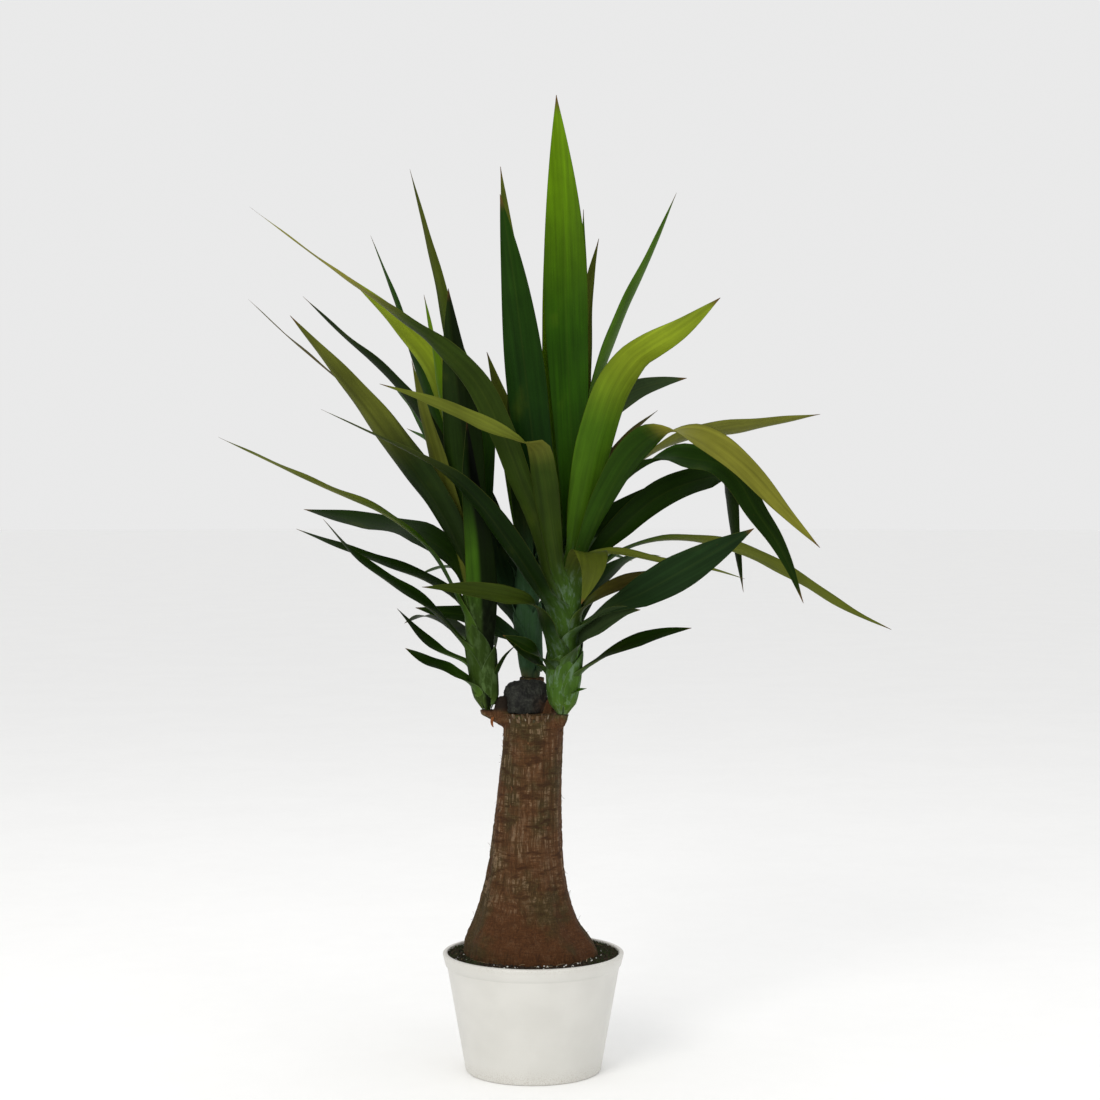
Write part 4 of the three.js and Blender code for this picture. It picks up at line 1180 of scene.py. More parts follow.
# Leaves and strips
class Midrib:
    """The smooth line that a leaf's midrib follows."""

    STEPS = 48

    def __init__(self, path: Rows) -> None:
        """Draws the line through the points of a path.

        Args:
            path: x, y, z, bearing and, where it has one, roll of each point.
        """
        points = np.array([(*point, 0)[:5] for point in path], float)
        corners = points[:, :3]
        chords = np.linalg.norm(np.diff(corners, axis=0), axis=1)
        self.corner_shares = np.append(0, np.cumsum(chords)) / chords.sum()
        self.turns = np.radians(points[:, 3:])
        self.line = self.drawn(corners)
        steps = np.linalg.norm(np.diff(self.line, axis=0), axis=1)
        self.reached = np.append(0, np.cumsum(steps))
        self.length = float(self.reached[-1])

    def drawn(self, corners: np.ndarray) -> np.ndarray:
        """Draws a centripetal curve through the corners.

        Args:
            corners: the path's points.

        Returns:
            Close points on the curve.
        """
        ends = np.concatenate([[2 * corners[0] - corners[1]], corners, [2 * corners[-1] - corners[-2]]])
        t = np.linspace(0, 1, self.STEPS, endpoint=False)[:, None]
        parts = []
        for p0, p1, p2, p3 in zip(ends[:-3], ends[1:-2], ends[2:-1], ends[3:]):
            d0, d1, d2 = (math.sqrt(np.linalg.norm(b - a)) for a, b in ((p0, p1), (p1, p2), (p2, p3)))
            out = ((p1 - p0) / d0 - (p2 - p0) / (d0 + d1) + (p2 - p1) / d1) * d1
            into = ((p2 - p1) / d1 - (p3 - p1) / (d1 + d2) + (p3 - p2) / d2) * d1
            bow = -3 * p1 + 3 * p2 - 2 * out - into
            parts.append(p1 + out * t + bow * t**2 + (2 * p1 - 2 * p2 + out + into) * t**3)
        parts.append(corners[-1:])
        return np.concatenate(parts)

    def at(self, shares: np.ndarray) -> np.ndarray:
        """Returns the places at shares of the length."""
        reach = shares * self.length
        return np.stack([np.interp(reach, self.reached, column) for column in self.line.T], axis=1)

    def turned(self, shares: np.ndarray) -> list[np.ndarray]:
        """Returns the bearings and the rolls at shares of the length, in radians."""
        return [np.interp(shares, self.corner_shares, column) for column in self.turns.T]


def strand_of(rib: np.ndarray, bearing: Numbers, roll: Numbers, half: Numbers, thick: Numbers,
              wave: Numbers, **values: Numbers) -> Strand:
    """Gathers what the leaf tree reads at each station of a blade's midrib.

    Args:
        rib: the midrib's points in millimetres.
        bearing: where the underside faces, in radians.
        roll: how far the blade is rolled round its midrib, in radians.
        half: half its width.
        thick: half its thickness.
        wave: the height of its margin's waves.
        values: everything else. A single number holds all along the blade.

    Returns:
        The values, with the directions to the blade's side and out of its upper face.
    """
    count = len(rib)
    bearing, roll = (np.broadcast_to(angle, count) for angle in (bearing, roll))
    tangent = np.gradient(rib, axis=0)
    tangent /= np.linalg.norm(tangent, axis=1)[:, None]
    side = np.stack([-np.sin(bearing), np.cos(bearing), np.zeros(count)], axis=1)
    side -= tangent * (side * tangent).sum(axis=1)[:, None]
    side /= np.linalg.norm(side, axis=1)[:, None]
    side = side * np.cos(roll)[:, None] + np.cross(tangent, side) * np.sin(roll)[:, None]
    values |= {"half": half * MM, "thick": thick * MM, "wave": wave * MM}
    held = {key: np.full(count, value) if np.ndim(value) == 0 else value for key, value in values.items()}
    return {"rib": rib * MM, "side": side, "upper": np.cross(tangent, side), **held}


def strip_strand(path: np.ndarray, bearing: float, half: np.ndarray, thick: float, tone: Colour,
                 phase: float, bend: float) -> Strand:
    """Lays out one dry strip, splinter or hair.

    Args:
        path: the points of its middle line in millimetres.
        bearing: where its outer face looks, in radians.
        half: half its width at each point.
        thick: its thickness.
        tone: its colour.
        phase: a number from 0 to 1 that makes its markings its own.
        bend: half the angle that its width is curled through, in radians.

    Returns:
        The values that the leaf tree reads at each point.
    """
    reach = np.append(0, np.cumsum(np.linalg.norm(np.diff(path, axis=0), axis=1)))
    return strand_of(path, bearing, 0.0, half, thick / 2, 0.0, bend=bend, along=reach / reach[-1],
                     reach=reach, phase=phase, tone=np.tile(tone, (len(path), 1)))


def paint(piece: Piece, key: str, value: Numbers) -> None:
    """Keeps a number, a colour or a direction for each point of a piece.

    Args:
        piece: the piece.
        key: the attribute's name.
        value: one number or row for each point, or one number for them all.
    """
    kind, field = ("FLOAT", "value") if np.ndim(value) < 2 else ("FLOAT_VECTOR", "vector")
    if key in COLOUR_KEYS:
        kind, field = "FLOAT_COLOR", "color"
        value = np.column_stack([value, np.ones(len(value))])
    elif np.ndim(value) == 0:
        value = np.full(len(piece.data.vertices), value)
    layer = piece.data.attributes.new(key, kind, "POINT")
    layer.data.foreach_set(field, value.astype(np.float32).ravel())


def grow(name: str, strands: list[Strand], tree: Tree, material: Material, points: int) -> Piece:
    """Turns strands into blades: chains of edges carry the strands' values into the leaf tree.

    Args:
        name: the object's name.
        strands: the leaves or strips.
        tree: the leaf tree.
        material: what they are made of.
        points: how many points the section of a blade has.

    Returns:
        The piece, with its faces outward.
    """
    edges = []
    first = 0
    for strand in strands:
        count = len(strand["reach"])
        edges.extend((first + i, first + i + 1) for i in range(count - 1))
        first += count
    values = {key: np.concatenate([strand[key] for strand in strands]) for key in strands[0]}
    piece = place_mesh(name, values["rib"] / MM, [], edges)
    for key, value in values.items():
        paint(piece, key, value)
    apply_tree(piece, tree, {"Section Points": points, "Wave Length": WAVE_LENGTH, "Material": material})
    face_outward(piece)
    return piece


# Pieces
@dataclass
class Shoot:
    """A leafy stem: a round core, clasping leaf feet around it, and its long blades.

    Lengths are in millimetres and shares are of the stem's radius or of a blade's length. The leaves
    come in a few groups, one mesh each.
    """

    name: str
    slot: str
    stem: Rows
    blades: tuple[Blade, ...]
    finish: LeafFinish
    tree: Tree
    groups: int
    seed: int
    core_share: float = 0.88
    foot_share: float = 0.66
    foot_narrows: float = 14.0
    # how much darker, as painted shade, the feet that face right are painted
    shade_side: float = 0.0
    core_gap: float = 0.4
    layer_step: float = 0.09
    layer_rise: float = 0.035
    most_rise: float = 3.0
    sheath_below: float = 46.0
    sheath_reach: float = 62.0
    sheath_share: float = 0.45
    held_from: float = 6.0
    near_step: float = 4.0
    far_step: float = 8.0
    least_far: int = 14
    wrap: float = 1.5
    wrap_width: float = 30.0
    gather_share: float = 0.3
    gather_reach: float = 30.0
    base_share: float = 0.62
    neck_share: float = 0.5
    neck_at: float = 0.12
    tip_half: float = 0.3
    waves: Range = (0.3, 1.1)
    foot_lights: Range = (0.7, 1.15)
    tone_spread: Range = (0.93, 1.07)
    scale_count: int = 4
    scale_length: float = 74.0
    scale_lengths: Range = (0.75, 1.15)
    scale_lights: Range = (0.45, 0.85)
    scale_stations: int = 14
    scale_gap: float = 0.6
    scale_rise: float = 5.5
    scale_lift: float = 1.2
    scale_half: float = 0.5
    scale_turn: float = 196.0
    scale_step: float = 137.5
    # how much darker, as painted shade, the right half of each scale is
    scale_dusk: float = 0.0
    foot_rise: float = 26.0
    foot_fade: float = 64.0
    section_points: int = 20
    scale_points: int = 28
    core_sides: int = 40
    core_below: float = 3.0
    core_step: float = 2.0
    core_ripple: float = 0.25
    core_top: Colour = (0.9, 0.7, 0.35)

    def __post_init__(self) -> None:
        """Reads the stem's table and starts its own random numbers."""
        self.axis_x, self.axis_y, self.heights, self.radii = np.array(self.stem, float).T
        self.foot = float(self.heights[0])
        self.chance = np.random.default_rng(self.seed)

    def axis(self, height: np.ndarray) -> np.ndarray:
        """Returns the stem's middle at each height."""
        level = [np.interp(height, self.heights, column) for column in (self.axis_x, self.axis_y)]
        return np.stack([*level, height], axis=1)

    def core_radius(self, height: np.ndarray) -> np.ndarray:
        """Returns the radius of the bare core under the leaf feet."""
        return np.interp(height, self.heights, self.radii) * self.core_share

    def narrowed(self, height: np.ndarray) -> np.ndarray:
        """Returns the share of its radius that the bundle of leaf feet keeps close to the stem's foot."""
        return 1 - (1 - self.foot_share) * (1 - eased((height - self.foot) / self.foot_narrows))

    def width_share(self, along: np.ndarray, widest: float, taper: float) -> np.ndarray:
        """Works out how a blade's width changes from its foot over its neck and its widest place to its tip.

        Args:
            along: shares of the blade's length.
            widest: the share where it is widest.
            taper: how long it stays wide.

        Returns:
            The share of its full width at each place.
        """
        neck = self.base_share + (self.neck_share - self.base_share) * eased(along / self.neck_at)
        rise = np.clip((along - self.neck_at) / (widest - self.neck_at), 0, 1)
        swell = self.neck_share + (1 - self.neck_share) * np.sin(math.pi / 2 * rise)
        fall = 1 - np.clip((along - widest) / (1 - widest), 0, 1) ** taper
        return np.where(along < self.neck_at, neck, np.where(along < widest, swell, fall))

    def clasp_colour(self, height: np.ndarray, light: float) -> np.ndarray:
        """Works out the colour of a clasping foot, which turns into the stem's foot colour low down.

        Args:
            height: the heights.
            light: how light this leaf's foot is painted, from 0 to 1, partly as painted shade.

        Returns:
            One colour for each height.
        """
        own = np.array(self.finish.deep) * (1 - light) + np.array(self.finish.sheath) * light
        low = (1 - eased((height - self.foot + 2) / self.foot_rise))[:, None] * (0.35 + 0.65 * light)
        return own * (1 - low) + np.array(self.finish.foot) * low

    def painted_side_light(self, across: float) -> float:
        """Returns how light a foot is painted that looks that far to the right, from -1 to 1: painted shade
        darkens the feet that face right.
        """
        return 1 - self.shade_side * 0.5 * (1 + across)

    def blended(self, low: Colour, high: Colour, shift: np.ndarray) -> np.ndarray:
        """Returns a colour that runs from low to high, a little lighter or darker in each leaf."""
        own = self.chance.uniform(*self.tone_spread)
        return (np.array(low) * (1 - shift)[:, None] + np.array(high) * shift[:, None]) * own

    def blade_strand(self, blade: Blade, layer: int) -> Strand:
        """Lays out one leaf from its clasping foot to its tip.

        Args:
            blade: the leaf's table row.
            layer: how many leaves its foot lies over.

        Returns:
            The values that the leaf tree reads at each station of the midrib.
        """
        midrib = Midrib(blade.path)
        _, _, start, bearing = blade.path[0][:4]
        below = min(self.sheath_below, max(start - self.foot - 1, 2.0))
        held_to = min(self.sheath_reach, self.sheath_share * midrib.length)
        close = np.arange(-below, held_to, self.near_step)
        stations = max(self.least_far, int((midrib.length - held_to) / self.far_step))
        far = np.linspace(held_to, midrib.length, stations)
        reach = np.concatenate([close, far])
        along = np.clip(reach / midrib.length, 0, 1)
        centre = midrib.at(along)
        height = np.where(reach < 0, start + reach, centre[:, 2])
        away = outward(math.radians(bearing))
        rise = self.layer_rise * (height - (start - below))
        over = self.core_gap + self.layer_step * layer + np.clip(rise, 0, self.most_rise)
        skin = (self.core_radius(height) + over) * self.narrowed(height)
        clasped = self.axis(height) + away * skin[:, None]
        hold = 1 - eased((reach - self.held_from) / (held_to - self.held_from))
        rib = centre * (1 - hold)[:, None] + clasped * hold[:, None]
        bearings, rolls = midrib.turned(along)

        wrap = self.wrap * min(1.0, blade.width / self.wrap_width)
        share = self.width_share(along, blade.widest, blade.taper)
        half = np.maximum(self.tip_half, blade.width / 2 * share)
        gather = self.gather_share + (1 - self.gather_share) * eased((reach + below) / self.gather_reach)
        half = half * (1 - hold) + skin * wrap * gather * hold
        channel = 2 * math.radians(blade.fold) * (1 + 0.9 * (1 - along) ** 4)
        wave = self.chance.uniform(*self.waves) * np.sin(math.pi * along) ** 0.6 * (1 - hold)
        thick = (0.55 + 0.5 * (1 - along) ** 2) * (1 + 0.5 * hold) / 2 * np.clip(half / 3, 0.3, 1)
        shift = eased((along - blade.change) / (2 * blade.softness) + 0.5)
        # painted shade: feet that face right are painted darker
        light = blade.foot_light * self.painted_side_light(away[0]) * self.chance.uniform(*self.foot_lights)
        past_foot = (reach - blade.foot_reach * held_to) / self.foot_fade + 1
        low, high = blade.low_tone.value, blade.high_tone.value
        return strand_of(
            rib, bearings, rolls * (1 - hold), half, thick, wave,
            bend=channel * (1 - hold) + wrap * gather * hold, along=along, reach=reach,
            sheath=1 - eased(past_foot), dusk=blade.dusk, phase=self.chance.uniform(),
            tone=self.blended(low.upper, high.upper, shift),
            under=self.blended(low.under, high.under, shift), clasp=self.clasp_colour(height, light),
        )

    def scale_strand(self, order: int) -> Strand:
        """Lays out one short clasping scale of the bare lower stem.

        Args:
            order: its place among the scales, from the lowest.

        Returns:
            The values that the leaf tree reads at each station of its midrib.
        """
        length = self.scale_length * self.chance.uniform(*self.scale_lengths)
        bearing = math.radians(self.scale_turn + self.scale_step * order)
        reach = np.linspace(0, length, self.scale_stations)
        along = reach / length
        height = self.foot + 1 + self.scale_rise * order + reach
        away = outward(bearing)
        over = self.scale_gap + self.layer_step * (len(self.blades) + self.scale_count - order)
        lift = self.layer_rise * reach + self.scale_lift * along**2
        skin = (self.core_radius(height) + over + lift) * self.narrowed(height)
        swell = (0.4 + 0.6 * eased(along / 0.4)) * (1 - along**3.2)
        half = np.maximum(self.scale_half, skin * self.wrap * swell)
        sheath = self.finish.sheath
        # painted shade: scales that face right are painted darker
        facing = self.painted_side_light(away[0])
        return strand_of(
            self.axis(height) + away * skin[:, None], bearing, 0.0, half, 0.5, 0.0,
            bend=half / skin, along=along * 0.9, reach=reach, sheath=1.0, dusk=self.scale_dusk,
            phase=self.chance.uniform(), tone=self.blended(sheath, sheath, along),
            under=self.blended(sheath, sheath, along),
            clasp=self.clasp_colour(height, self.chance.uniform(*self.scale_lights) * facing),
        )

    def core(self) -> Piece:
        """Makes the round core that the leaf feet clasp.

        Returns:
            The core.
        """
        heights = np.arange(self.foot - self.core_below, self.heights[-1] + 0.1, self.core_step)
        ripple = self.core_ripple * np.sin(heights * 0.9)
        radii = self.core_radius(heights) * self.narrowed(heights) + ripple
        radii[-len(self.core_top):] *= np.array(self.core_top)
        turn = circle(self.core_sides)
        rings = [ring(turn, radius, radius, *middle) for middle, radius in zip(self.axis(heights), radii)]
        piece = loft(self.name + "_core", rings)
        smooth_faces(piece)
        climbed = np.repeat(heights, len(turn))
        values = {"sheath": 1.0, "margin": 9.0, "phase": 0.4, "offset": np.tile(turn * 12, len(heights))}
        values |= {"reach": climbed, "clasp": self.clasp_colour(climbed, 0.3)}
        for key, value in values.items():
            paint(piece, key, value)
        return piece

    def build(self) -> list[Piece]:
        """Builds the core, the scales and the leaves in a few groups.

        Returns:
            The pieces.
        """
        material = self.finish.material()
        made = [self.core()]
        scales = [self.scale_strand(order) for order in range(self.scale_count)]
        made.append(grow(self.name + "_scales", scales, self.tree, material, self.scale_points))
        feet = sorted((blade.path[0][2] for blade in self.blades), reverse=True)
        strands = [self.blade_strand(blade, feet.index(blade.path[0][2])) for blade in self.blades]
        size = math.ceil(len(strands) / self.groups)
        for group in range(self.groups):
            part = strands[group * size:(group + 1) * size]
            name = f"{self.name}_leaves_{group + 1}"
            made.append(grow(name, part, self.tree, material, self.section_points))
        return [dress(piece, material, self.name) for piece in made]


@dataclass
class Cane:
    """The flared woody cane with the nubs that its shoots stand on, and the strips that peel from it.

    A section is its height, radius, shift along x and depth of its ridges. A nub's row is its height,
    radius, x and y. The last two nubs are the low bark shoulders beside the wax.
    """

    tree: Tree
    sections: Rows = (
        (129, 76.5, -2, 0.5), (140, 74.8, -3.5, 1.2), (150, 71, -6, 1.6), (163, 63, -8.5, 1.8),
        (180, 55.5, -9, 1.6), (200, 49.3, -9, 1.4), (225, 44, -8.5, 1.2), (255, 40.2, -7.5, 1),
        (290, 37.6, -6, 0.8), (325, 35.6, -4.2, 0.7), (360, 34.3, -1.8, 0.6), (390, 33.8, -0.3, 0.6),
        (407, 33.6, 0, 0.6),
    )
    nubs: tuple[Rows, ...] = (
        ((392, 6, -30, -3), (400, 8.5, -40, -4), (405, 9.5, -48, -5), (411, 9, -51.5, -5)),
        ((386, 6, 22, -13), (397, 8.5, 29, -17.5), (407, 8.5, 32, -19.5)),
        ((372, 9, -2, 16), (386, 15, -2, 24), (400, 16.5, -2, 29.5), (420, 14.5, -2, 31), (445, 14, -2, 31)),
        ((396, 10, -32, -7), (408, 9.5, -35.5, -8.5), (415, 8.2, -36, -9), (421, 6.6, -35.5, -9),
         (426.5, 4.2, -34.5, -9)),
        ((398, 8, 16, -6), (408, 8, 17, -7), (415, 6.5, 18, -8), (421, 4.5, 18, -8.5),
         (424, 2.5, 17.5, -8.5)),
    )
    splinter: Rows = (
        (-44.5, -12, 406), (-46, -14.5, 402), (-46.5, -15.5, 398), (-46, -15, 394.5), (-45, -14, 392),
    )
    splinter_bearing: float = 255.0
    splinter_tone: Colour = (0.17, 0.055, 0.014)
    rim_tones: tuple[Colour, ...] = (
        (0.135, 0.088, 0.050), (0.080, 0.044, 0.022), (0.045, 0.024, 0.011), (0.100, 0.062, 0.034),
        (0.230, 0.190, 0.135), (0.050, 0.040, 0.018),
    )
    peel_tones: tuple[Colour, ...] = (
        (0.115, 0.055, 0.022), (0.060, 0.028, 0.012), (0.17, 0.12, 0.070), (0.105, 0.046, 0.018),
    )
    hair_tones: tuple[Colour, Colour] = ((0.14, 0.085, 0.045), (0.05, 0.026, 0.012))
    ridges: int = 9
    sides: int = 200
    levels: int = 170
    voxel: float = 1.3
    relief: float = 1.6
    strip_root: float = -0.9
    sway: Range = (-0.12, 0.12)
    rim_flakes: int = 110
    rim_height: float = 405.0
    rim_shifts: Range = (-3.5, 4.6)
    rim_lengths: Range = (4.0, 15.0)
    rim_lifts: Range = (0.7, 3.0)
    rim_halves: Range = (0.35, 1.9)
    small_lengths: Range = (4.0, 10.0)
    peels: int = 34
    peel_heights: Range = (250.0, 398.0)
    peel_lifts: Range = (0.3, 1.6)
    peel_halves: Range = (0.8, 2.2)
    hairs: int = 90
    hair_heights: Range = (148.0, 398.0)
    hair_lifts: Range = (1.0, 4.0)
    hair_half: float = 0.19
    seed: int = 41

    def __post_init__(self) -> None:
        """Starts the cane's own random numbers."""
        self.chance = np.random.default_rng(self.seed)

    def reach(self, turn: Numbers, height: float, radius: float, ridge: float) -> Numbers:
        """Returns how far the bark stands from the cane's middle at an angle, with its ridges."""
        return radius + ridge * np.cos(self.ridges * turn + height / 60) + 0.4 * ridge * np.sin(5 * turn + 1)

    def column(self) -> Piece:
        """Makes the flared column above and just below the soil's surface.

        Returns:
            The column.
        """
        heights = np.linspace(self.sections[0][0], self.sections[-1][0], self.levels)
        angle = circle(self.sides)
        rings = []
        for height, (radius, shift, ridge) in zip(heights, smooth_rows(self.sections, heights)):
            wide = self.reach(angle, height, radius, ridge)
            rings.append(ring(angle, wide, wide, shift, 0.0, height))
        return loft("cane_column", rings)

    @staticmethod
    def nub(rows: Rows) -> Piece:
        """Makes one nub.

        Args:
            rows: its sections.

        Returns:
            The nub.
        """
        heights = np.linspace(rows[0][0], rows[-1][0], 26)
        angle = circle(40)
        rings = []
        for height, (radius, x, y) in zip(heights, smooth_rows(rows, heights)):
            wide = radius * (1 + 0.03 * np.sin(3 * angle + height / 5))
            rings.append(ring(angle, wide, wide, x, y, height))
        return loft("cane_nub", rings)

    def curl(self, turn: float, height: float, length: float, lift: float, rise: float) -> np.ndarray:
        """Draws the middle line of a strip that leaves the bark.

        Args:
            turn: the angle round the cane.
            height: where the strip's root is.
            length: how long it is.
            lift: how far its end stands out from the bark.
            rise: 1 where it points up and -1 where it hangs down.

        Returns:
            The line's points, the first of them just inside the bark.
        """
        radius, shift, ridge = smooth_rows(self.sections, np.array([height]))[0]
        root = np.array([shift, 0, height]) + outward(turn) * self.reach(turn, height, radius, ridge)
        along = np.linspace(0, 1, 9)
        out = self.strip_root + (lift - self.strip_root) * along**1.6
        sway = self.chance.uniform(*self.sway) * length * along**2
        line = root + outward(turn) * out[:, None] + outward(turn + math.pi / 2) * sway[:, None]
        line[:, 2] += rise * length * np.sin(along * 1.35) / math.sin(1.35)
        return line

    def rim_strands(self) -> list[Strand]:
        """Lays out the ragged strips that stand at the cane's cut rim.

        Returns:
            One strand for each strip.
        """
        strands = []
        for order in range(self.rim_flakes):
            turn = math.tau * (order + self.chance.uniform(-0.4, 0.4)) / self.rim_flakes
            length = self.chance.uniform(*self.rim_lengths)
            root = self.rim_height + self.chance.uniform(*self.rim_shifts) - length
            line = self.curl(turn, root, length, self.chance.uniform(*self.rim_lifts), 1)
            taper = 1 - np.linspace(0, 1, len(line)) ** 4 * self.chance.uniform(0.2, 0.8)
            half = self.chance.uniform(*self.rim_halves) * taper
            tone = self.rim_tones[int(self.chance.integers(len(self.rim_tones)))]
            strands.append(strip_strand(line, turn, half, 0.45, tone, self.chance.uniform(), 0.5))
        return strands

    def peel_strands(self) -> list[Strand]:
        """Lays out the small flakes that lift from the column, and the splinter at the left nub.

        Returns:
            One strand for each flake.
        """
        strands = []
        low, high = self.peel_heights
        for _ in range(self.peels):
            turn = self.chance.uniform(0, math.tau)
            height = low + (high - low) * self.chance.uniform() ** 0.7
            rise = 1 if self.chance.uniform() < 0.6 else -1
            length = self.chance.uniform(*self.small_lengths)
            line = self.curl(turn, height, length, self.chance.uniform(*self.peel_lifts), rise)
            taper = 1 - np.linspace(0, 1, len(line)) ** 2 * 0.85
            tone = self.peel_tones[int(self.chance.integers(len(self.peel_tones)))]
            half = self.chance.uniform(*self.peel_halves) * taper
            strands.append(strip_strand(line, turn, half, 0.4, tone, self.chance.uniform(), 0.4))
        along = np.linspace(0, 1, 16)
        line = Midrib(self.splinter).at(along)
        half = 1.9 * np.sin(math.pi * (0.12 + 0.86 * along)) ** 0.7
        turn = math.radians(self.splinter_bearing)
        return strands + [strip_strand(line, turn, half, 0.6, self.splinter_tone, 0.3, 0.7)]

    def hair_strands(self) -> list[Strand]:
        """Lays out the fine dry fibres that stand off the bark.

        Returns:
            One strand for each fibre.
        """
        strands = []
        low, high = self.hair_heights
        for _ in range(self.hairs):
            turn = self.chance.uniform(0, math.tau)
            height = low + (high - low) * self.chance.uniform()
            rise = 1 if self.chance.uniform() < 0.5 else -1
            length = self.chance.uniform(*self.small_lengths)
            line = self.curl(turn, height, length, self.chance.uniform(*self.hair_lifts), rise)
            half = self.hair_half * (1 - 0.6 * np.linspace(0, 1, len(line)))
            tone = self.hair_tones[0 if self.chance.uniform() < 0.6 else 1]
            strands.append(strip_strand(line, turn, half, 0.3, tone, self.chance.uniform(), 0.2))
        return strands

    def build(self) -> list[Piece]:
        """Knits column and nubs into one skin, gives it its bark and adds what peels from it.

        Returns:
            The pieces.
        """
        bark = join("cane_bark", [self.column(), *(self.nub(rows) for rows in self.nubs)])
        knit(bark, self.voxel, 5)
        material = BarkFinish("bark", 0.88).material()
        relief = relief_tree("Bark Relief", bark_height)
        apply_tree(bark, relief, {"Depth": self.relief, "Material": material})
        made = [dress(bark, material, "cane")]
        dry = StripFinish("bark_strips", 0.85).material()
        for name, strands, points in (
            ("cane_rim_strips", self.rim_strands(), 14),
            ("cane_peeling_bark", self.peel_strands(), 12),
            ("cane_hairs", self.hair_strands(), 5),
        ):
            made.append(dress(grow(name, strands, self.tree, dry, points), dry, "cane"))
        return made


@dataclass
class WaxSeal:
    """The dark lump of grafting wax on the cut of the cane.

    A section is its height, its reach along x and y, and its middle's x and y.
    """

    sections: Rows = (
        (407.3, 24, 14.5, -9, -4), (413, 25, 15.5, -9, -4), (425, 25, 15.5, -8.5, -4),
        (434, 24.3, 15, -8.5, -4), (439.5, 21.5, 13, -7, -4), (443, 15, 9, -5, -4), (444.5, 8, 4.5, -4, -4),
    )
    lump: float = 1.3
    voxel: float = 0.8
    relief: float = 7.0

    def build(self) -> list[Piece]:
        """Builds the lump and gives it its drips and its dull black skin.

        Returns:
            The seal, as a list of one.
        """
        heights = np.linspace(self.sections[0][0], self.sections[-1][0], 40)
        angle = circle(96)
        rings = []
        for height, (wide, deep, x, y) in zip(heights, smooth_rows(self.sections, heights)):
            climb = height - heights[0]
            lump = self.lump * np.sin(4 * angle + climb / 8)
            lump += 0.8 * self.lump * np.sin(2 * angle + 0.6 + climb / 5)
            rings.append(ring(angle, wide + lump, deep + lump, x, y, height))
        piece = loft("wax_lump", rings)
        knit(piece, self.voxel, 4)
        material = WaxFinish("wax", 0.72).material()
        tree = relief_tree("Wax Drips", lump_height)
        apply_tree(piece, tree, {"Depth": self.relief, "Material": material})
        return [dress(piece, material, "wax_seal")]


@dataclass(frozen=True)
class Strewn:
    """One kind of loose bit: its grain, its finish, and how densely and how large it is strewn where."""

    name: str
    tree: Tree
    finish: MottledFinish
    density: float
    least: float
    most: float
    ruggedness: float
    seed: int
    growth: Callable[[float, float], float]


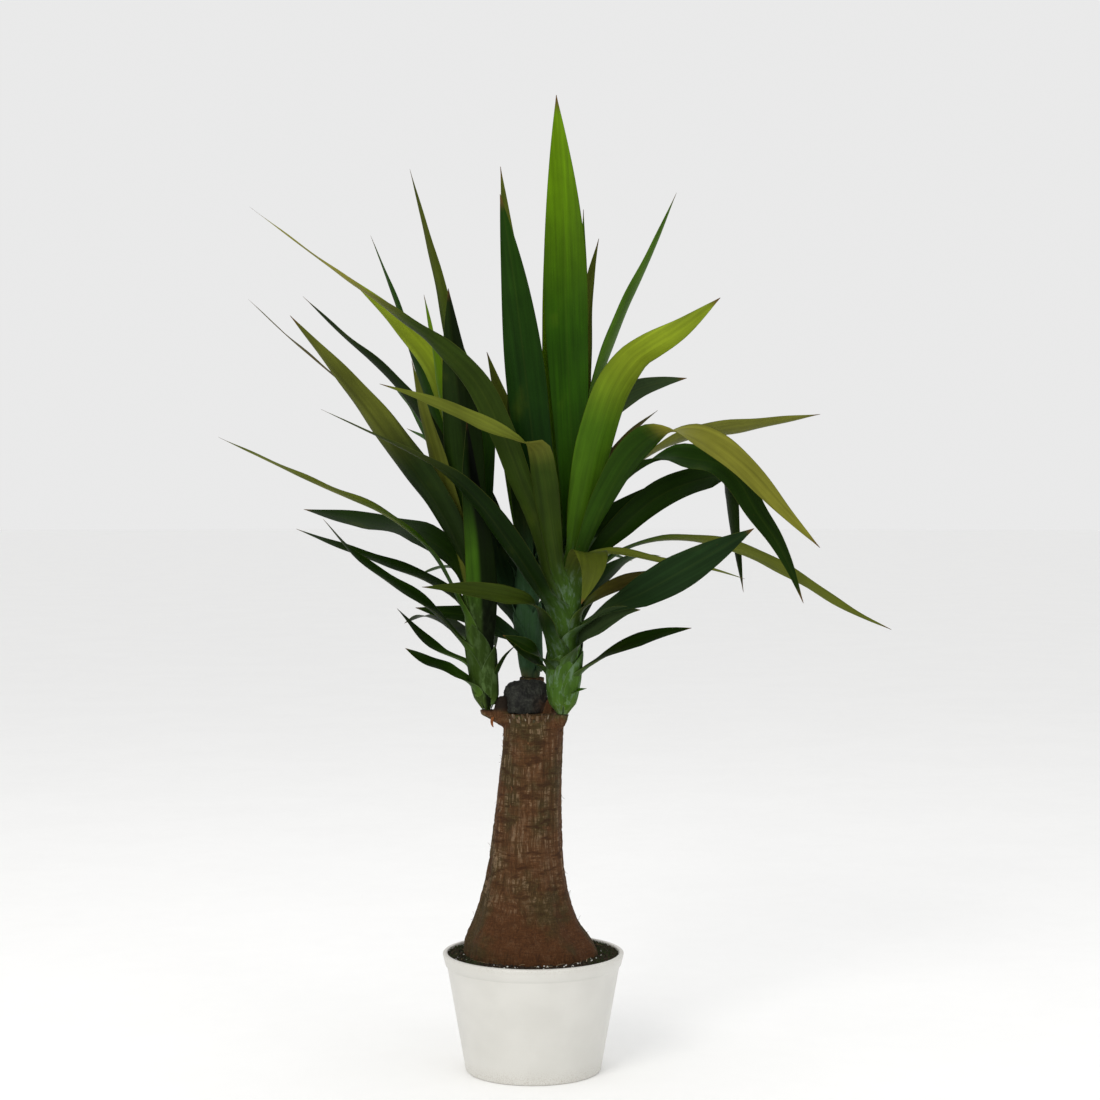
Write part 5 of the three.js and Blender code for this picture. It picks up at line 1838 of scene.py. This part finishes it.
@dataclass
class Soil:
    """Dark potting soil around the cane's foot, with crumbs, perlite, moss and fibres."""

    tree: Tree
    top: float = 133.5
    inner: float = 62.0
    outer: float = 97.2
    flat_from: float = 89.5
    bottom: float = 100.0
    edge_drop: float = 1.0
    bed_drop: float = 0.8
    clods: float = 3.0
    fibres: int = 34
    fibre_ring: Range = (77.0, 92.0)
    fibre_lengths: Range = (5.0, 15.0)
    fibre_lifts: Range = (0.6, 1.4)
    fibre_halves: Range = (0.18, 0.45)
    fibre_skews: Range = (-0.9, 0.9)
    fibre_swings: Range = (-0.2, 0.2)
    fibre_arches: Range = (0.0, 1.2)
    fibre_margin: float = 1.5
    fibre_tones: tuple[Colour, ...] = ((0.16, 0.11, 0.06), (0.07, 0.042, 0.022), (0.26, 0.20, 0.12))
    seed: int = 17

    def surface(self, radius: float) -> float:
        """Returns the height of the soil's surface at a radius."""
        past = max(0.0, (radius - self.flat_from) / (self.outer - self.flat_from))
        return self.top - self.edge_drop * past

    def bed(self) -> Piece:
        """Makes the closed ring of soil under the loose bits.

        Returns:
            The bed.
        """
        angle = circle(220)
        profile = [(self.inner, self.bottom), (self.outer - 5, self.bottom), (self.outer, self.top - 4)]
        radii = np.linspace(self.outer, self.inner, 30)
        profile += [(radius, self.surface(radius) - self.bed_drop) for radius in radii]
        rings = [ring(angle, radius, radius, 0.0, 0.0, height) for radius, height in profile]
        faces = band_faces(len(profile), len(angle), closed=True)
        return place_mesh("soil_bed", np.concatenate(rings), faces)

    def strew(self, kind: Strewn) -> Piece:
        """Strews one kind of bit over an open ring that says how thick it lies, and dresses it.

        Args:
            kind: the kind of bit.

        Returns:
            The bits.
        """
        angle = circle(72)
        radii = np.linspace(self.inner + 4, self.outer - 0.5, 7)
        rings = [ring(angle, radius, radius, 0.0, 0.0, self.surface(radius) - 0.5) for radius in radii]
        points = np.concatenate(rings)
        faces = [(face[0], *face[:0:-1]) for face in band_faces(len(radii), len(angle))]
        piece = place_mesh(kind.name, points, faces)
        paint(piece, "growth", np.array([kind.growth(x, y) for x, y, _ in points]))
        material = kind.finish.material()
        apply_tree(piece, kind.tree, {
            "Density": kind.density, "Least Size": kind.least, "Most Size": kind.most,
            "Ruggedness": kind.ruggedness, "Seed": kind.seed, "Material": material,
        })
        face_outward(piece)
        return dress(piece, material, "soil")

    def fibre_strands(self) -> list[Strand]:
        """Lays out the thin fibres and straws that lie on the soil.

        Returns:
            One strand for each fibre.
        """
        chance = np.random.default_rng(self.seed)
        strands = []
        for _ in range(self.fibres):
            turn = chance.uniform(0, math.tau)
            away = chance.uniform(*self.fibre_ring)
            heading = turn + math.pi / 2 + chance.uniform(*self.fibre_skews)
            along = np.linspace(0, 1, 9)[:, None]
            length = chance.uniform(*self.fibre_lengths)
            swing = chance.uniform(*self.fibre_swings) * length * along**2
            line = outward(turn) * away + outward(heading) * length * along
            line += outward(heading + math.pi / 2) * swing
            lift = chance.uniform(*self.fibre_lifts)
            arch = chance.uniform(*self.fibre_arches)
            line[:, 2] = self.top + lift + arch * np.sin(math.pi * along[:, 0])
            line = line[np.hypot(line[:, 0], line[:, 1]) < self.outer - self.fibre_margin]
            if len(line) < 4:
                continue
            half = np.full(len(line), chance.uniform(*self.fibre_halves))
            tone = self.fibre_tones[int(chance.integers(len(self.fibre_tones)))]
            strands.append(strip_strand(line, heading, half, 0.35, tone, chance.uniform(), 0.3))
        return strands

    def build(self) -> list[Piece]:
        """Builds the bed and strews everything that lies on it.

        Returns:
            The pieces.
        """
        bed = self.bed()
        ground = MottledFinish("soil_ground", 0.95, (0.012, 0.009, 0.006), (0.038, 0.027, 0.018),
                               (0.10, 0.075, 0.05), grain=0.25, depth=1.0, worn_share=0.4,
                               shine=0.15).material()
        face_outward(bed)
        apply_tree(bed, relief_tree("Soil Clods", clod_height), {"Depth": self.clods, "Material": ground})
        made = [dress(bed, ground, "soil")]
        lumps = grain_tree("Soil Grains", Grain.LUMP)
        crumb = MottledFinish("soil_crumb", 0.95, (0.013, 0.009, 0.006), (0.042, 0.028, 0.018),
                              (0.10, 0.075, 0.05), grain=0.35, depth=0.6, worn_share=0.5, shine=0.15)
        stone = MottledFinish("perlite", 0.9, (0.60, 0.59, 0.55), (0.78, 0.77, 0.73), (0.30, 0.25, 0.19),
                              grain=0.5, depth=0.5, worn_share=0.4)
        moss = MottledFinish("moss", 0.9, (0.018, 0.030, 0.007), (0.045, 0.068, 0.018),
                             (0.110, 0.125, 0.050), grain=0.4, depth=0.3, worn_share=0.35, shine=0.2)
        kinds = (
            Strewn("soil_crumbs", lumps, crumb, 60000.0, 1.2, 4.0, 0.4, 3, lambda x, y: 1.0),
            Strewn("perlite_grains", lumps, stone, 15000.0, 0.7, 2.8, 0.4, 11,
                   lambda x, y: 1.0 if y < -20 and abs(x - 12) < 52 else 0.3),
            Strewn("moss_tufts", grain_tree("Moss Blades", Grain.BLADE), moss, 330000.0, 1.4, 3.8, 0.3, 23,
                   lambda x, y: (0.35 + max(0.0, math.sin(0.09 * x + 1) * math.cos(0.11 * y)))
                   * (abs(x) > 58)),
        )
        made += [self.strew(kind) for kind in kinds]
        straw = StripFinish("soil_fibres", 0.9).material()
        fibres = grow("soil_fibres", self.fibre_strands(), self.tree, straw, 6)
        return [*made, dress(fibres, straw, "soil")]


@dataclass
class Pot:
    """A plain round pot with a band at its rim, a foot ring and drain holes."""

    height: float = 135.0
    rim_radius: float = 103.0
    foot_radius: float = 77.0
    band: float = 16.0
    step: float = 2.2
    wall: float = 3.0
    floor: float = 4.5
    foot_ring: float = 8.0
    hub_radius: float = 16.0
    recess: float = 2.0
    sides: int = 192
    holes: int = 5
    hole_radius: float = 4.5
    hole_circle: float = 42.0
    hole_sides: int = 32
    drill: Range = (-2.0, 8.0)
    sharp: float = 50.0

    def profile(self) -> list[tuple[float, float]]:
        """Works out the pot's half section, from its underside over its rim to its floor.

        Returns:
            The radius and height of each corner.
        """
        top, rim, foot, hub = self.height, self.rim_radius, self.foot_radius, self.hub_radius
        heel = foot - self.foot_ring
        band_foot = top - self.band
        band_top = band_foot + self.step
        under = foot + (rim - self.step - foot) * band_foot / top
        over = under + self.step
        rise = (rim - over) / (top - 2 - band_top)
        mouth = rim - self.step - self.wall
        inner = foot - self.wall
        return [
            (0, 0), (hub - 0.5, 0), (hub + 0.4, 0.4), (hub + 2, self.recess), (heel, self.recess),
            (heel + 1.6, 0.4), (heel + 2.5, 0), (foot - 1.8, 0), (foot - 0.8, 0.4), (foot - 0.1, 1.2),
            (foot + 0.4, 2.6), (under - 0.1, band_foot - 0.6), (under + 0.15, band_foot + 0.15),
            (over - 0.5, band_top - 0.5), (over, band_top + 0.2), (rim - rise, top - 3), (rim, top - 1.9),
            (rim - 0.3, top - 1.1), (rim - 1, top - 0.4), (rim - 2, top), (mouth + 1, top),
            (mouth + 0.3, top - 0.3), (mouth, top - 1), (inner + 0.8, self.floor + 3.5),
            (inner, self.floor + 1), (inner - 2, self.floor), (0, self.floor),
        ]

    def turned(self) -> Piece:
        """Turns the profile round the pot's axis into a closed body with poles at its middle.

        Returns:
            The pot without its holes.
        """
        (_, low), *profile, (_, high) = self.profile()
        angle = circle(self.sides)
        rings = [ring(angle, radius, radius, 0.0, 0.0, height) for radius, height in profile]
        points = np.concatenate([[(0, 0, low)], *rings, [(0, 0, high)]])
        faces = band_faces(len(profile), self.sides, 1)
        last = 1 + (len(profile) - 1) * self.sides
        for side in range(self.sides):
            after = (side + 1) % self.sides
            faces.append((0, 1 + after, 1 + side))
            faces.append((len(points) - 1, last + side, last + after))
        return place_mesh("pot_shell", points, faces)

    def build(self) -> list[Piece]:
        """Turns the pot, drills its holes and gives it its plastic skin.

        Returns:
            The pot, as a list of one.
        """
        piece = self.turned()
        face_outward(piece)
        radius = self.hole_radius
        drills = []
        for hole in range(self.holes):
            x, y, _ = outward(math.tau * hole / self.holes) * self.hole_circle
            rings = [ring(circle(self.hole_sides), radius, radius, x, y, height) for height in self.drill]
            drills.append(loft("drill", rings))
        drill = join("drills", drills)
        cut = piece.modifiers.new("Drain Holes", "BOOLEAN")
        cut.operation = "DIFFERENCE"
        cut.object = drill
        settle(piece)
        bpy.data.objects.remove(drill)
        smooth_faces(piece)
        piece.data.set_sharp_from_angle(angle=math.radians(self.sharp))
        return [dress(piece, PotFinish("pot", 0.38).material(), "pot")]


# Floor, lights and camera
@dataclass
class Studio:
    """The pale floor, the soft lights and the camera. Its lengths are in metres."""

    floor_radii: tuple[float, ...] = (0.3, 1.0, 3.0, 10.0, 30.0)
    floor_sides: int = 96
    lens: float = 75.14
    sensor: float = 36.0
    farthest: float = 100.0
    camera_place: tuple[float, float, float] = (0.019, -2.6, 0.669)
    camera_tilt: float = 88.3
    aim: tuple[float, float, float] = (0.0, 0.0, 0.55)
    room_light: float = 0.82

    def floor(self) -> None:
        """Lays the floor under the pot."""
        sides = self.floor_sides
        rings = [ring(circle(sides), radius / MM, radius / MM, 0.0, 0.0, 0.0) for radius in self.floor_radii]
        faces = band_faces(len(rings), sides, 1)
        faces += [(0, 1 + side, 1 + (side + 1) % sides) for side in range(sides)]
        piece = place_mesh("floor", np.concatenate([[(0.0, 0.0, 0.0)], *rings]), faces)
        finish = MottledFinish("floor", 0.9, (0.975, 0.975, 0.97), (0.985, 0.985, 0.98),
                               (0.97, 0.97, 0.965), grain=0.004, depth=0.0, worn_share=0.1,
                               shine=0.1, contrast=0.03)
        piece.data.materials.append(finish.material())

    def light(self, name: str, place: Colour, size: float, power: float, warm: Colour) -> None:
        """Hangs one soft square light that looks at the middle of the plant.

        Args:
            name: the light's name.
            place: where it hangs.
            size: the length of its side.
            power: its power in watts.
            warm: its colour.
        """
        lamp = bpy.data.lights.new(name, "AREA")
        lamp.size = size
        lamp.energy = power
        lamp.color = warm
        held = place_object(name, lamp)
        aim = np.array(self.aim) - np.array(place)
        held.location = place
        tilt = math.atan2(math.hypot(aim[0], aim[1]), -aim[2])
        held.rotation_euler = (tilt, 0, math.atan2(-aim[0], aim[1]))

    def world(self) -> None:
        """Fills the room with an even pale light."""
        room = bpy.data.worlds.new("room")
        room.use_nodes = True
        back = room.node_tree.nodes["Background"]
        back.inputs["Color"].default_value = (1.0, 1.0, 1.0, 1.0)
        back.inputs["Strength"].default_value = self.room_light
        bpy.context.scene.world = room

    def camera(self) -> None:
        """Sets the camera where the photograph was taken from."""
        lens = bpy.data.cameras.new("camera")
        lens.lens = self.lens
        lens.sensor_width = self.sensor
        lens.clip_end = self.farthest
        held = place_object("camera", lens)
        held.location = self.camera_place
        held.rotation_euler = (math.radians(self.camera_tilt), 0, 0)
        bpy.context.scene.camera = held

    def build(self) -> None:
        """Sets up the whole studio."""
        self.floor()
        self.light("key", (-1.3, -2.7, 2.2), 1.4, 42.0, (1.0, 0.98, 0.94))
        self.light("fill", (2.3, -1.7, 1.3), 1.8, 6.0, (0.95, 0.98, 1.0))
        self.light("top", (0.2, 0.6, 2.9), 1.8, 8.0, (1.0, 1.0, 1.0))
        self.world()
        self.camera()
        bpy.context.scene.view_settings.view_transform = "Standard"


def main() -> None:
    """Builds the classes in order and reports each piece, then sets up the studio."""
    logging.basicConfig(level=logging.INFO, format="%(name)s: %(message)s")
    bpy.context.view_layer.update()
    tree = leaf_tree()
    left = LeafFinish("leaf_left", 0.45, (0.062, 0.124, 0.014), (0.018, 0.034, 0.006),
                      (0.078, 0.118, 0.016), (0.100, 0.165, 0.055), 0.45)
    right = LeafFinish("leaf_right", 0.45, (0.050, 0.108, 0.014), (0.022, 0.050, 0.007),
                       (0.060, 0.096, 0.013), (0.120, 0.185, 0.115), 0.75)
    back = LeafFinish("leaf_back", 0.46, (0.030, 0.074, 0.028), (0.020, 0.050, 0.019),
                      (0.105, 0.085, 0.034), (0.045, 0.090, 0.050), 0.6, foot_margin=(0.035, 0.070, 0.040))
    for part in (
        Pot(), Soil(tree), Cane(tree), WaxSeal(),
        # the left shoot's feet and scales get painted shade on their right sides
        Shoot("shoot_left", "leaf_left", STEM_LEFT, LEAVES_LEFT, left, tree, groups=3, seed=5,
              shade_side=0.85, scale_dusk=0.35),
        Shoot("shoot_right", "leaf_right", STEM_RIGHT, LEAVES_RIGHT, right, tree, groups=4, seed=6,
              scale_turn=344.0),
        Shoot("shoot_back", "leaf_back", STEM_BACK, LEAVES_BACK, back, tree, groups=2, seed=7,
              foot_share=0.94, foot_rise=15.0),
    ):
        for piece in part.build():
            LOG.info("%s: %d faces", piece.name, len(piece.data.polygons))
    Studio().build()


if __name__ == "__main__":
    main()
